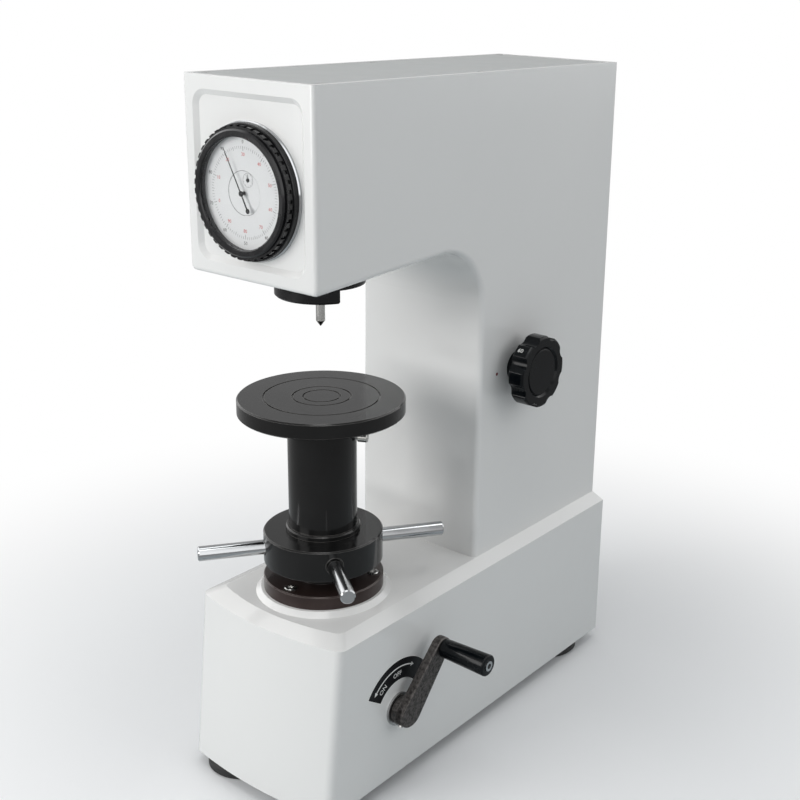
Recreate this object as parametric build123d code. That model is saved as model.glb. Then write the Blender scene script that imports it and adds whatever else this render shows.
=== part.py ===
"""Bench hardness tester: C-shaped housing, screw-raised table, lever-and-weight loading, dial gauge.

Machine frame while modelling: X to the right (crank side), Y to the rear, Z up, millimetres.
X = 0 and Y = 0 is the test axis that the indenter, the table and the elevating screw share, and
Z = 0 is the bench.  Every part is moved to the row frame, whose origin is the centre of the
bottom of the whole machine's box, just before it is written.
"""

import os
from math import cos, pi, radians, sin

from build123d import *

# ---------------------------------------------------------------- clearances
RUNNING_FIT = 0.05  # radial play of a shaft that turns or slides in its hole
SCREW_PLAY = 0.1  # radial play of a fixed screw in its hole
MOVING_GAP = 0.4  # free space between parts that pass or nearly touch each other
STEP_GAP = 0.3  # smallest axial space between a turning part and its neighbour

# ---------------------------------------------------------------- housing
FOOT_HEIGHT = 12.0
TOTAL_HEIGHT = 630.0
REAR_Y = 347.0
HEAD_HALF_WIDTH = 71.5
HEAD_FRONT_Y = -78.2
HEAD_DEPTH_AT_FRONT = 159.0  # from the top down to the underside
HEAD_DEPTH_AT_REAR = 147.0
HEAD_UNDERSIDE_FRONT_Z = TOTAL_HEIGHT - HEAD_DEPTH_AT_FRONT
HEAD_UNDERSIDE_REAR_Z = TOTAL_HEIGHT - HEAD_DEPTH_AT_REAR
COLUMN_DEPTH = 212.2
COLUMN_WALL_LEAN = 1.8
COLUMN_WALL_TOP_Y = REAR_Y - COLUMN_DEPTH
COLUMN_WALL_BOTTOM_Y = COLUMN_WALL_TOP_Y - COLUMN_WALL_LEAN
THROAT_TOP_RADIUS = 55.0
THROAT_BOTTOM_RADIUS = 48.0
BASE_HALF_WIDTH = 85.5
BASE_EDGE_Z = 167.5
SHOULDER_Z = 174.0
BASE_FRONT_TOP_Y = -68.9
BASE_FRONT_TOP_BOW = 12.0
BASE_FRONT_BOTTOM_Y = -85.6
BASE_FRONT_BOTTOM_BOW = 7.9
BASE_CORNER_RADIUS = 9.0
HEAD_EDGE_RADIUS = 4.0
THROAT_EDGE_RADIUS = 5.0
HEAD_WALL = 8.0
COLUMN_WALL = 9.0
BASE_WALL = 10.0
BASE_ROOF = 14.0
FRONT_WALL = 13.0
PANEL_BORDER = 11.0
PANEL_DEPTH = 3.0
PANEL_CORNER_RADIUS = 13.0
SEAT_PAD_RADIUS = 56.5
SEAT_PAD_HEIGHT = 4.4

TOP_COVER_MARGIN = 5.0
TOP_COVER_THICKNESS = 3.0
TOP_COVER_LEDGE = 9.0
REAR_COVER_MARGIN = 9.0
REAR_COVER_THICKNESS = 2.5
REAR_COVER_LEDGE = 10.0
REAR_COVER_ABOVE_SHOULDER = 16.0
REAR_COVER_BELOW_TOP = 24.0
REAR_COVER_BOTTOM_Z = SHOULDER_Z + REAR_COVER_ABOVE_SHOULDER
REAR_COVER_TOP_Z = TOTAL_HEIGHT - REAR_COVER_BELOW_TOP
COVER_SCREW_RADIUS = 2.0
COVER_SCREW_HEAD_RADIUS = 3.8
COVER_SCREW_HEAD_HEIGHT = 1.5

FOOT_RADIUS = 33.0
FOOT_INSET_X = 35.5
FOOT_INSET_REAR = 47.0
FOOT_X = BASE_HALF_WIDTH - FOOT_INSET_X
FOOT_FRONT_Y = -58.0
FOOT_REAR_Y = REAR_Y - FOOT_INSET_REAR
FOOT_STUD_RADIUS = 6.0
FOOT_POST_RADIUS = 26.0
FOOT_POST_TOP_Z = 52.0

# ---------------------------------------------------------------- levels in the head, down from its top
DIAL_DROP = 86.5
LEVER_LINE_DROP = 74.0
FLOOR_PAD_DROP = 138.0
INDENTER_TIP_DROP = 209.8
DIAL_Z = TOTAL_HEIGHT - DIAL_DROP
LEVER_LINE_Z = TOTAL_HEIGHT - LEVER_LINE_DROP
FLOOR_PAD_Z = TOTAL_HEIGHT - FLOOR_PAD_DROP
INDENTER_TIP_Z = TOTAL_HEIGHT - INDENTER_TIP_DROP

# ---------------------------------------------------------------- dial gauge
SEAT_RING_RADIUS = 55.0
SEAT_RING_HEIGHT = 2.4
CASE_BODY_RADIUS = 46.0
CASE_RIM_RADIUS = 53.8
CASE_RIM_HEIGHT = 4.4
CASE_BODY_DEPTH = 29.0
BEZEL_KNURL_RADIUS = 52.4
BEZEL_KNURL_WIDTH = 4.2
BEZEL_FRONT_RADIUS = 49.6
BEZEL_FRONT_HEIGHT = 2.8
BEZEL_OPENING_RADIUS = 43.6
BEZEL_SKIRT_RADIUS = 47.6
BEZEL_SKIRT_DEPTH = 2.0
BEZEL_NOTCHES = 44
BEZEL_NOTCH_DEPTH = 1.1
GLASS_THICKNESS = 1.4
PLATE_THICKNESS = 0.8
POINTER_LENGTH = 37.5
POINTER_TAIL = 16.5
POINTER_REST_DEG = 28.5
TURNS_X = 4.5
TURNS_Z = 10.5
TURNS_LENGTH = 4.4
ARBOR_RADIUS = 1.2
PLUNGER_RADIUS = 3.0
PLUNGER_INSET = 17.0
PLUNGER_STEM_LENGTH = 1.2

# ---------------------------------------------------------------- test spindle
INDENTER_RADIUS = 3.9
INDENTER_CONE_HEIGHT = 4.6
INDENTER_REACH = 20.3
INDENTER_SHANK_DEPTH = 25.5
SPINDLE_NOSE_RADIUS = 9.0
SPINDLE_NOSE_HEIGHT = 15.5
SPINDLE_NOSE_Z = INDENTER_TIP_Z + INDENTER_REACH
SPINDLE_NOSE_TOP_Z = SPINDLE_NOSE_Z + SPINDLE_NOSE_HEIGHT
INDENTER_SHANK_TOP_Z = SPINDLE_NOSE_Z + INDENTER_SHANK_DEPTH
SPINDLE_RADIUS = 11.0
SPINDLE_COLLAR_RADIUS = 16.0
SPINDLE_COLLAR_HEIGHT = 5.0
SPINDLE_NECK_RADIUS = 8.0
SPINDLE_TIP_RADIUS = 6.0
SPINDLE_TIP_LENGTH = 30.0
SPINDLE_TIP_FROM_Z = LEVER_LINE_Z - SPINDLE_TIP_LENGTH
SPINDLE_PIN_RADIUS = 2.0
SPINDLE_TRAVEL = 0.8
GUIDE_RADIUS = 17.0
GUIDE_FLANGE_RADIUS = 24.0
GUIDE_FLANGE_TOP = 11.0
GUIDE_TOP_Z = FLOOR_PAD_Z + GUIDE_FLANGE_TOP
GUARD_RADIUS = 38.5
GUARD_BELOW_HEAD = 11.5
GUARD_SKIRT_HEIGHT = 11.3
GUARD_STEP_Z = HEAD_UNDERSIDE_FRONT_Z - GUARD_BELOW_HEAD
GUARD_SKIRT_Z = GUARD_STEP_Z - GUARD_SKIRT_HEIGHT
GUARD_TOP_Z = HEAD_UNDERSIDE_REAR_Z + 7.0
GUARD_SKIRT_BACK_Y = -14.0
GUARD_WALL = 5.0
SPRING_RADIUS = 14.2
SPRING_WIRE = 1.0
SPRING_TURNS = 4

# ---------------------------------------------------------------- lever work
KNIFE_ARM = 22.0
HANGER_FROM_REAR = 95.0
HANGER_Y = REAR_Y - HANGER_FROM_REAR
LEVER_HALF_WIDTH = 13.0
LEVER_FRONT_Y = -34.0
LEVER_TAIL = 79.0
LEVER_REAR_Y = HANGER_Y + LEVER_TAIL
LEVER_DEEP = 15.0
LEVER_SHALLOW = 9.0
LEVER_HUMP_LENGTH = 70.0
LEVER_WAIST_LENGTH = 140.0
LEVER_WAIST_END = 30.0
LEVER_WAIST_HALF_HEIGHT = 4.0
KNIFE_SIZE = 8.0
LEVER_DROP = 0.4
CHEEK_INNER_X = 32.0
CHEEK_OUTER_X = 44.0
FULCRUM_BLOCK_REAR_Y = 24.0
BRIDGE_BELOW_LEVER = 26.0
BRIDGE_BOTTOM_Z = LEVER_LINE_Z - BRIDGE_BELOW_LEVER
BRIDGE_THICKNESS = 6.0
MEASURING_FOOT_BELOW_PAD = 6.0
MEASURING_FOOT_Z = FLOOR_PAD_Z - MEASURING_FOOT_BELOW_PAD
MEASURING_ARM_X = 22.5
MEASURING_ARM_WIDTH = 5.0
MEASURING_ARM_HEIGHT = 7.0
MEASURING_PLATE_Y = -44.0
MEASURING_RATIO = 5.0

# ---------------------------------------------------------------- weights in the column
HANGER_ROD_RADIUS = 6.0
WEIGHT_RADIUS = 52.0
BASE_WEIGHT_HEIGHT = 53.0
MIDDLE_WEIGHT_HEIGHT = 46.0
LOWER_WEIGHT_HEIGHT = 58.0
WEIGHT_STACK_Z = 236.0
WEIGHT_GAP = 4.0
WEIGHT_COLLAR_RADIUS = 11.0
WEIGHT_COLLAR_HEIGHT = 5.0
DASHPOT_BEHIND_HANGER = 68.0
DASHPOT_Y = HANGER_Y + DASHPOT_BEHIND_HANGER
DASHPOT_RADIUS = 15.0
DASHPOT_BORE_RADIUS = 12.0
DASHPOT_BOTTOM_Z = 64.0
DASHPOT_HEIGHT = 92.0
PISTON_ROD_RADIUS = 3.0
PISTON_HEIGHT = 14.0

SELECTOR_BEFORE_HANGER = 61.0
SELECTOR_Y = HANGER_Y - SELECTOR_BEFORE_HANGER
SELECTOR_Z = 354.5
SELECTOR_SHAFT_RADIUS = 6.0
SELECTOR_TRAVEL_DEG = 240.0
SELECTOR_LIFT = 8.0
SELECTOR_CAM_INSET = 33.5
SELECTOR_CAM_X = HEAD_HALF_WIDTH - SELECTOR_CAM_INSET
SELECTOR_CAM_WIDTH = 7.0
FORK_POST_X = -SELECTOR_CAM_X
FORK_POST_BEFORE_SELECTOR = 7.0
FORK_POST_Y = SELECTOR_Y - FORK_POST_BEFORE_SELECTOR
FORK_POST_RADIUS = 4.0
FORK_LUG_Z = 200.0
KNOB_RADIUS = 34.5
KNOB_VALLEY_RADIUS = 30.5
KNOB_LOBES = 8
KNOB_STANDOFF = 15.0
KNOB_THICKNESS = 16.5
KNOB_BACK_X = HEAD_HALF_WIDTH + KNOB_STANDOFF
KNOB_FACE_X = KNOB_BACK_X + KNOB_THICKNESS
KNOB_NECK_RADIUS = 15.0

# ---------------------------------------------------------------- loading drive
CRANK_Y = 4.0
CRANK_Z = 79.0
CRANK_TRAVEL_DEG = 95.0
CRANK_SHAFT_RADIUS = 8.0
CRANK_BUSH_RADIUS = 13.0
CRANK_BUSH_FLANGE_RADIUS = 15.5
CRANK_BUSH_FLANGE = 2.0
CRANK_ARM_LENGTH = 64.5
CRANK_ARM_REST_DEG = 54.0
CRANK_HUB_RADIUS = 13.0
CRANK_TIP_RADIUS = 9.5
CRANK_STANDOFF = 2.5
CRANK_HUB_LENGTH = 14.0
CRANK_ARM_BACK_X = BASE_HALF_WIDTH + CRANK_STANDOFF
CRANK_ARM_FRONT_X = CRANK_ARM_BACK_X + CRANK_HUB_LENGTH
CRANK_ARM_THICKNESS = 9.0
CRANK_ARM_LEAN = 5.0
GRIP_END_FROM_HUB = 55.62
GRIP_END_X = CRANK_ARM_FRONT_X + GRIP_END_FROM_HUB
GRIP_RADIUS = 8.9
GRIP_BELLY_RADIUS = 10.6
GRIP_RIVET_RADIUS = 4.6
GRIP_PIN_RADIUS = 3.5
INNER_ARM_INSET = 37.5
INNER_ARM_X = BASE_HALF_WIDTH - INNER_ARM_INSET
INNER_ARM_THICKNESS = 7.0
INNER_ARM_LENGTH = 25.0
INNER_ARM_REST_DEG = 42.5
INNER_PIN_RADIUS = 4.0
LINK_THICKNESS = 6.0
LINK_HALF_HEIGHT = 8.0
LIFT_BEFORE_HANGER = 84.0
LIFT_Y = HANGER_Y - LIFT_BEFORE_HANGER
REAR_SHAFT_RADIUS = 7.0
REAR_SHAFT_INSET = 5.5
REAR_SHAFT_END_X = BASE_HALF_WIDTH - REAR_SHAFT_INSET
LIFT_CAM_HEIGHT = 36.0
LIFT_CAM_WIDTH = 10.0
LIFT_ROD_RADIUS = 5.0
LIFT_GUIDE_ABOVE_SHOULDER = 30.0
LIFT_GUIDE_BELOW_LEVER = 118.0

# ---------------------------------------------------------------- elevating screw and table
FLANGE_RADIUS = 53.8
FLANGE_THICKNESS = 12.2
FLANGE_SCREW_CIRCLE = 45.0
FLANGE_SCREW_FIRST_DEG = 33.0
THRUST_RADIUS = 29.0
HUB_BOTTOM_Z = 204.1
HUB_TOP_Z = 232.9
HUB_RADIUS = 53.2
HUB_SPIGOT_RADIUS = 23.5
HUB_SPIGOT_Z = 168.0
ROD_Z = 219.5
ROD_RADIUS = 6.5
ROD_REACH = 111.0
ROD_ROOT = 33.0
ROD_FIRST_DEG = 54.0
ROD_COUNT = 4
ROD_CHAMFER = 1.0
SCREW_RADIUS = 19.0
SCREW_BOTTOM_Z = 60.0
SCREW_KEYWAY_WIDTH = 6.0
SCREW_KEYWAY_DEPTH = 3.0
TABLE_TOP_Z = 357.3
TABLE_RADIUS = 73.0
TABLE_THICKNESS = 14.0
TABLE_STEM_RADIUS = 12.5
TABLE_STEM_LENGTH = 28.0
TABLE_GROOVE_RADII = (50.2, 25.3, 16.0)
TABLE_GROOVE_WIDTH = 1.6
TABLE_GROOVE_DEPTH = 1.2
TUBE_RADIUS = 30.3
TUBE_WALL = 3.0
TUBE_RING_RADIUS = 33.0
TUBE_RING_HEIGHT = 4.6
TUBE_SCREW_DEG = 28.0
TUBE_SCREW_Z = 322.0
TUBE_SCREW_REACH = 41.0

# ---------------------------------------------------------------- derived positions
BASE_BOTTOM_Z = FOOT_HEIGHT
PAD_TOP_Z = SHOULDER_Z + SEAT_PAD_HEIGHT
FLANGE_TOP_Z = PAD_TOP_Z + FLANGE_THICKNESS
HEAD_INNER_X = HEAD_HALF_WIDTH - HEAD_WALL
BASE_INNER_X = BASE_HALF_WIDTH - BASE_WALL
COLUMN_INNER_Y = COLUMN_WALL_TOP_Y + COLUMN_WALL
PANEL_Y = HEAD_FRONT_Y + PANEL_DEPTH
UNDERSIDE_SLOPE = (HEAD_UNDERSIDE_REAR_Z - HEAD_UNDERSIDE_FRONT_Z) / (COLUMN_WALL_TOP_Y - HEAD_FRONT_Y)
HEAD_FLOOR = 10.0
TOP_COVER_HALF_WIDTH = HEAD_HALF_WIDTH - TOP_COVER_MARGIN
TOP_OPENING_HALF_WIDTH = TOP_COVER_HALF_WIDTH - TOP_COVER_LEDGE
TOP_COVER_FRONT_Y = HEAD_FRONT_Y + TOP_COVER_MARGIN
TOP_COVER_REAR_Y = REAR_Y - TOP_COVER_MARGIN
REAR_COVER_HALF_WIDTH = HEAD_HALF_WIDTH - REAR_COVER_MARGIN
SEAT_RING_FRONT_Y = PANEL_Y - SEAT_RING_HEIGHT
CASE_RIM_FRONT_Y = SEAT_RING_FRONT_Y - CASE_RIM_HEIGHT
KNURL_BACK_Y = CASE_RIM_FRONT_Y - STEP_GAP
KNURL_FRONT_Y = KNURL_BACK_Y - BEZEL_KNURL_WIDTH
BEZEL_FRONT_Y = KNURL_FRONT_Y - BEZEL_FRONT_HEIGHT
PLATE_FRONT_Y = KNURL_BACK_Y + 0.4
GLASS_FRONT_Y = KNURL_FRONT_Y - 0.9
PLUNGER_Y = PANEL_Y + PLUNGER_INSET
FULCRUM_Y = -KNIFE_ARM
LEVER_TILT = LEVER_DROP / KNIFE_ARM
SPINDLE_COLLAR_Z = GUIDE_TOP_Z + MOVING_GAP
SPRING_BOTTOM_Z = SPINDLE_COLLAR_Z + SPINDLE_COLLAR_HEIGHT
SPINDLE_TOP_Z = LEVER_LINE_Z - LEVER_DROP - SPINDLE_TRAVEL - STEP_GAP
MEASURING_PIVOT_Y = -PLUNGER_Y / (MEASURING_RATIO - 1)
PIN_Z = SPINDLE_COLLAR_Z + SPINDLE_COLLAR_HEIGHT / 2
MEASURING_ARM_Z = PIN_Z + SPINDLE_PIN_RADIUS + STEP_GAP
HANGER_DROP = (HANGER_Y + KNIFE_ARM) * LEVER_TILT
LIFT_DROP = (LIFT_Y + KNIFE_ARM) * LEVER_TILT
MIDDLE_WEIGHT_Z = WEIGHT_STACK_Z + LOWER_WEIGHT_HEIGHT + WEIGHT_GAP
BASE_WEIGHT_Z = MIDDLE_WEIGHT_Z + MIDDLE_WEIGHT_HEIGHT + WEIGHT_GAP
FORK_TOP_Z = WEIGHT_STACK_Z - HANGER_DROP - SELECTOR_LIFT - 2 * MOVING_GAP
LIFT_FOOT_Z = CRANK_Z + LIFT_CAM_HEIGHT + STEP_GAP
TABLE_BOTTOM_Z = TABLE_TOP_Z - TABLE_THICKNESS

ROD_SIDE_DEG = ROD_FIRST_DEG + 90.0
ROD_END_RADIUS = ROD_RADIUS - ROD_CHAMFER
LEFT_EXTENT = -ROD_REACH * cos(radians(ROD_SIDE_DEG)) + ROD_END_RADIUS * sin(radians(ROD_SIDE_DEG))
ROW_X = (GRIP_END_X - LEFT_EXTENT) / 2
ROW_Y = (REAR_Y + COVER_SCREW_HEAD_HEIGHT + BASE_FRONT_BOTTOM_Y - BASE_FRONT_BOTTOM_BOW) / 2


# ---------------------------------------------------------------- helpers
def block(x0, x1, y0, y1, z0, z1):
    """Straight-sided block between two corners."""
    centre = Pos((x0 + x1) / 2, (y0 + y1) / 2, (z0 + z1) / 2)
    return centre * Box(abs(x1 - x0), abs(y1 - y0), abs(z1 - z0))


def upright(x, y, z0, z1, radius):
    """Cylinder along Z."""
    return Pos(x, y, (z0 + z1) / 2) * Cylinder(radius, abs(z1 - z0))


def crosswise(x0, x1, y, z, radius):
    """Cylinder along X."""
    return Pos((x0 + x1) / 2, y, z) * Rot(0, 90, 0) * Cylinder(radius, abs(x1 - x0))


def lengthwise(x, y0, y1, z, radius):
    """Cylinder along Y."""
    return Pos(x, (y0 + y1) / 2, z) * Rot(90, 0, 0) * Cylinder(radius, abs(y1 - y0))


def side_prism(points, x0, x1):
    """Side profile of (y, z) points pushed across from x0 to x1."""
    face = make_face(Polyline(*[(x0, y, z) for y, z in points], close=True))
    return extrude(face, amount=x1 - x0, dir=(1, 0, 0))


def turned(points, x=0.0, y=0.0):
    """Body of revolution about a vertical line from (radius, z) points."""
    face = make_face(Polyline(*[(r, 0, z) for r, z in points], close=True))
    return Pos(x, y, 0) * revolve(face, axis=Axis.Z)


def turned_dial(points):
    """Body of revolution about the dial's axis from (radius, y) points."""
    face = make_face(Polyline(*[(r, y, 0) for r, y in points], close=True))
    return Pos(0, 0, DIAL_Z) * revolve(face, axis=Axis.Y)


def turned_across(points, y, z):
    """Body of revolution about a line along X from (x, radius) points."""
    face = make_face(Polyline(*[(x, 0, r) for x, r in points], close=True))
    return Pos(0, y, z) * revolve(face, axis=Axis.X)


def polar(radius, angle_deg):
    """Point at a radius and angle in a plane."""
    return radius * cos(radians(angle_deg)), radius * sin(radians(angle_deg))


def underside_z(y):
    """Height of the head's sloping underside."""
    return HEAD_UNDERSIDE_FRONT_Z + (y - HEAD_FRONT_Y) * UNDERSIDE_SLOPE


# ---------------------------------------------------------------- housing
def base_outline(half_width, front_y, bow, rear_y, z, radius):
    """Plan outline of the base: straight sides and rear, front bowed outward, soft front corners."""
    left = (-half_width, front_y)
    right = (half_width, front_y)
    middle = (0, front_y - bow)
    with BuildSketch(Plane.XY.offset(z)) as sketch:
        with BuildLine():
            front = ThreePointArc(left, middle, right)
            Polyline(right, (half_width, rear_y), (-half_width, rear_y), left)
        make_face()
        corners = sketch.vertices().sort_by(Axis.Y)[:2]
        fillet(corners, radius)
    return sketch.sketch.faces()[0]


def base_block(inset, top_z, rear_y):
    """Base below its top edge, leaning back toward the top, grown inward by the inset."""
    bottom = base_outline(
        BASE_HALF_WIDTH - inset,
        BASE_FRONT_BOTTOM_Y + inset,
        BASE_FRONT_BOTTOM_BOW,
        rear_y,
        BASE_BOTTOM_Z,
        BASE_CORNER_RADIUS,
    )
    top = base_outline(
        BASE_HALF_WIDTH - inset,
        BASE_FRONT_TOP_Y + inset,
        BASE_FRONT_TOP_BOW,
        rear_y,
        top_z,
        BASE_CORNER_RADIUS,
    )
    return loft([bottom, top])


def base_roof():
    """Low hipped roof between the base's top edge and the column's width."""
    slope_in = BASE_HALF_WIDTH - HEAD_HALF_WIDTH
    eaves = base_outline(
        BASE_HALF_WIDTH, BASE_FRONT_TOP_Y, BASE_FRONT_TOP_BOW, REAR_Y, BASE_EDGE_Z, BASE_CORNER_RADIUS
    )
    ridge = base_outline(
        HEAD_HALF_WIDTH, BASE_FRONT_TOP_Y + slope_in, BASE_FRONT_TOP_BOW, REAR_Y, SHOULDER_Z, BASE_CORNER_RADIUS
    )
    return loft([eaves, ridge])


def c_profile():
    """Head and column as one side profile with the two throat radii."""
    tuck = SHOULDER_Z - BASE_ROOF
    front_foot = BASE_FRONT_TOP_Y + 2 * (BASE_HALF_WIDTH - HEAD_HALF_WIDTH)
    with BuildSketch(Plane.YZ) as sketch:
        with BuildLine():
            Polyline(
                (HEAD_FRONT_Y, TOTAL_HEIGHT),
                (REAR_Y, TOTAL_HEIGHT),
                (REAR_Y, tuck),
                (front_foot, tuck),
                (front_foot, SHOULDER_Z),
                (COLUMN_WALL_BOTTOM_Y, SHOULDER_Z),
                (COLUMN_WALL_TOP_Y, HEAD_UNDERSIDE_REAR_Z),
                (HEAD_FRONT_Y, HEAD_UNDERSIDE_FRONT_Z),
                close=True,
            )
        make_face()
        upper = sketch.vertices().sort_by_distance((COLUMN_WALL_TOP_Y, HEAD_UNDERSIDE_REAR_Z))[0]
        lower = sketch.vertices().sort_by_distance((COLUMN_WALL_BOTTOM_Y, SHOULDER_Z))[0]
        fillet(upper, THROAT_TOP_RADIUS)
        fillet(lower, THROAT_BOTTOM_RADIUS)
    return sketch.sketch


def head_and_column():
    """The C above the base, with softened edges round the throat and the head's front."""
    slab = Pos(-HEAD_HALF_WIDTH, 0, 0) * extrude(c_profile(), amount=2 * HEAD_HALF_WIDTH, dir=(1, 0, 0))
    sides = slab.edges().filter_by(lambda e: abs(abs(e.center().X) - HEAD_HALF_WIDTH) < 0.01)
    throat = sides.filter_by(
        lambda e: e.center().Z > SHOULDER_Z + 1
        and e.center().Z < HEAD_UNDERSIDE_REAR_Z + 1
        and HEAD_FRONT_Y < e.center().Y < COLUMN_WALL_TOP_Y + 2
    )
    slab = fillet(throat, THROAT_EDGE_RADIUS)
    front = slab.edges().filter_by(Axis.Z).filter_by(lambda e: abs(e.center().Y - HEAD_FRONT_Y) < 0.01)
    return fillet(front, HEAD_EDGE_RADIUS)


def seat_pad():
    """Low round pad cast on the base for the screw flange."""
    foot = SEAT_PAD_RADIUS + SEAT_PAD_HEIGHT
    low = SHOULDER_Z - 2
    return turned([(0, low), (foot, low), (foot, SHOULDER_Z), (SEAT_PAD_RADIUS, PAD_TOP_Z), (0, PAD_TOP_Z)])


def housing_cavity():
    """Everything hollow inside the housing: base, column and head run into one another."""
    base = loft(
        [
            base_outline(BASE_INNER_X, BASE_FRONT_BOTTOM_Y + BASE_WALL, BASE_FRONT_BOTTOM_BOW, REAR_Y - BASE_WALL, 0, 4),
            base_outline(
                BASE_INNER_X,
                BASE_FRONT_TOP_Y + BASE_WALL,
                BASE_FRONT_TOP_BOW,
                REAR_Y - BASE_WALL,
                BASE_EDGE_Z - BASE_ROOF + 4,
                4,
            ),
        ]
    )
    top_z = TOTAL_HEIGHT - TOP_COVER_THICKNESS - HEAD_WALL
    upper = side_prism(
        [
            (HEAD_FRONT_Y + FRONT_WALL, top_z),
            (REAR_Y - COLUMN_WALL, top_z),
            (REAR_Y - COLUMN_WALL, BASE_BOTTOM_Z + 60),
            (COLUMN_INNER_Y, BASE_BOTTOM_Z + 60),
            (COLUMN_INNER_Y, underside_z(COLUMN_INNER_Y) + HEAD_FLOOR),
            (HEAD_FRONT_Y + FRONT_WALL, underside_z(HEAD_FRONT_Y) + HEAD_FLOOR),
        ],
        -HEAD_INNER_X,
        HEAD_INNER_X,
    )
    return base + upper


def cover_openings():
    """Openings and flush rebates for the top and rear covers."""
    top_ledge_z = TOTAL_HEIGHT - TOP_COVER_THICKNESS
    rear_ledge_y = REAR_Y - REAR_COVER_THICKNESS
    rear_x = REAR_COVER_HALF_WIDTH - REAR_COVER_LEDGE
    top_rebate = block(
        -TOP_COVER_HALF_WIDTH, TOP_COVER_HALF_WIDTH, TOP_COVER_FRONT_Y, TOP_COVER_REAR_Y, top_ledge_z, TOTAL_HEIGHT + 1
    )
    top_hole = block(
        -TOP_OPENING_HALF_WIDTH,
        TOP_OPENING_HALF_WIDTH,
        HEAD_FRONT_Y + FRONT_WALL + TOP_COVER_LEDGE,
        REAR_Y - COLUMN_WALL - TOP_COVER_LEDGE,
        top_ledge_z - 2 * HEAD_WALL,
        TOTAL_HEIGHT,
    )
    rear_rebate = block(
        -REAR_COVER_HALF_WIDTH, REAR_COVER_HALF_WIDTH, rear_ledge_y, REAR_Y + 1, REAR_COVER_BOTTOM_Z, REAR_COVER_TOP_Z
    )
    rear_hole = block(
        -rear_x,
        rear_x,
        REAR_Y - 2 * COLUMN_WALL,
        REAR_Y,
        REAR_COVER_BOTTOM_Z + REAR_COVER_LEDGE,
        REAR_COVER_TOP_Z - REAR_COVER_LEDGE,
    )
    return top_rebate + top_hole + rear_rebate + rear_hole


def front_panel_recess():
    """Shallow field with soft corners and sloping walls in the head's face."""
    half_width = HEAD_HALF_WIDTH - PANEL_BORDER
    low = HEAD_UNDERSIDE_FRONT_Z + PANEL_BORDER + 1
    high = TOTAL_HEIGHT - PANEL_BORDER
    plane = Plane.XZ.offset(-HEAD_FRONT_Y)
    centre_z = (low + high) / 2
    mouth = plane * Pos(0, centre_z) * RectangleRounded(2 * half_width, high - low, PANEL_CORNER_RADIUS)
    floor_plane = Plane.XZ.offset(-PANEL_Y)
    taper = 1.5 * PANEL_DEPTH
    floor = floor_plane * Pos(0, centre_z) * RectangleRounded(
        2 * (half_width - taper), high - low - 2 * taper, PANEL_CORNER_RADIUS - taper
    )
    return loft([mouth.faces()[0], floor.faces()[0]])


def top_screw_places():
    """Six screws round the top cover."""
    x = TOP_COVER_HALF_WIDTH - TOP_COVER_LEDGE / 2
    front = TOP_COVER_FRONT_Y + 2 * TOP_COVER_LEDGE / 2 + 3
    rear = TOP_COVER_REAR_Y - TOP_COVER_LEDGE / 2 - 3
    return [(side * x, y) for side in (-1, 1) for y in (front, (front + rear) / 2, rear)]


def rear_screw_places():
    """Ten screws round the rear cover."""
    x = REAR_COVER_HALF_WIDTH - REAR_COVER_LEDGE / 2
    low = REAR_COVER_BOTTOM_Z + REAR_COVER_LEDGE / 2
    high = REAR_COVER_TOP_Z - REAR_COVER_LEDGE / 2
    rows = [low + i * (high - low) / 4 for i in range(5)]
    return [(side * x, z) for side in (-1, 1) for z in rows]


def foot_places():
    """Four feet under the base's corners."""
    return [(side * FOOT_X, y) for side in (-1, 1) for y in (FOOT_FRONT_Y, FOOT_REAR_Y)]


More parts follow.
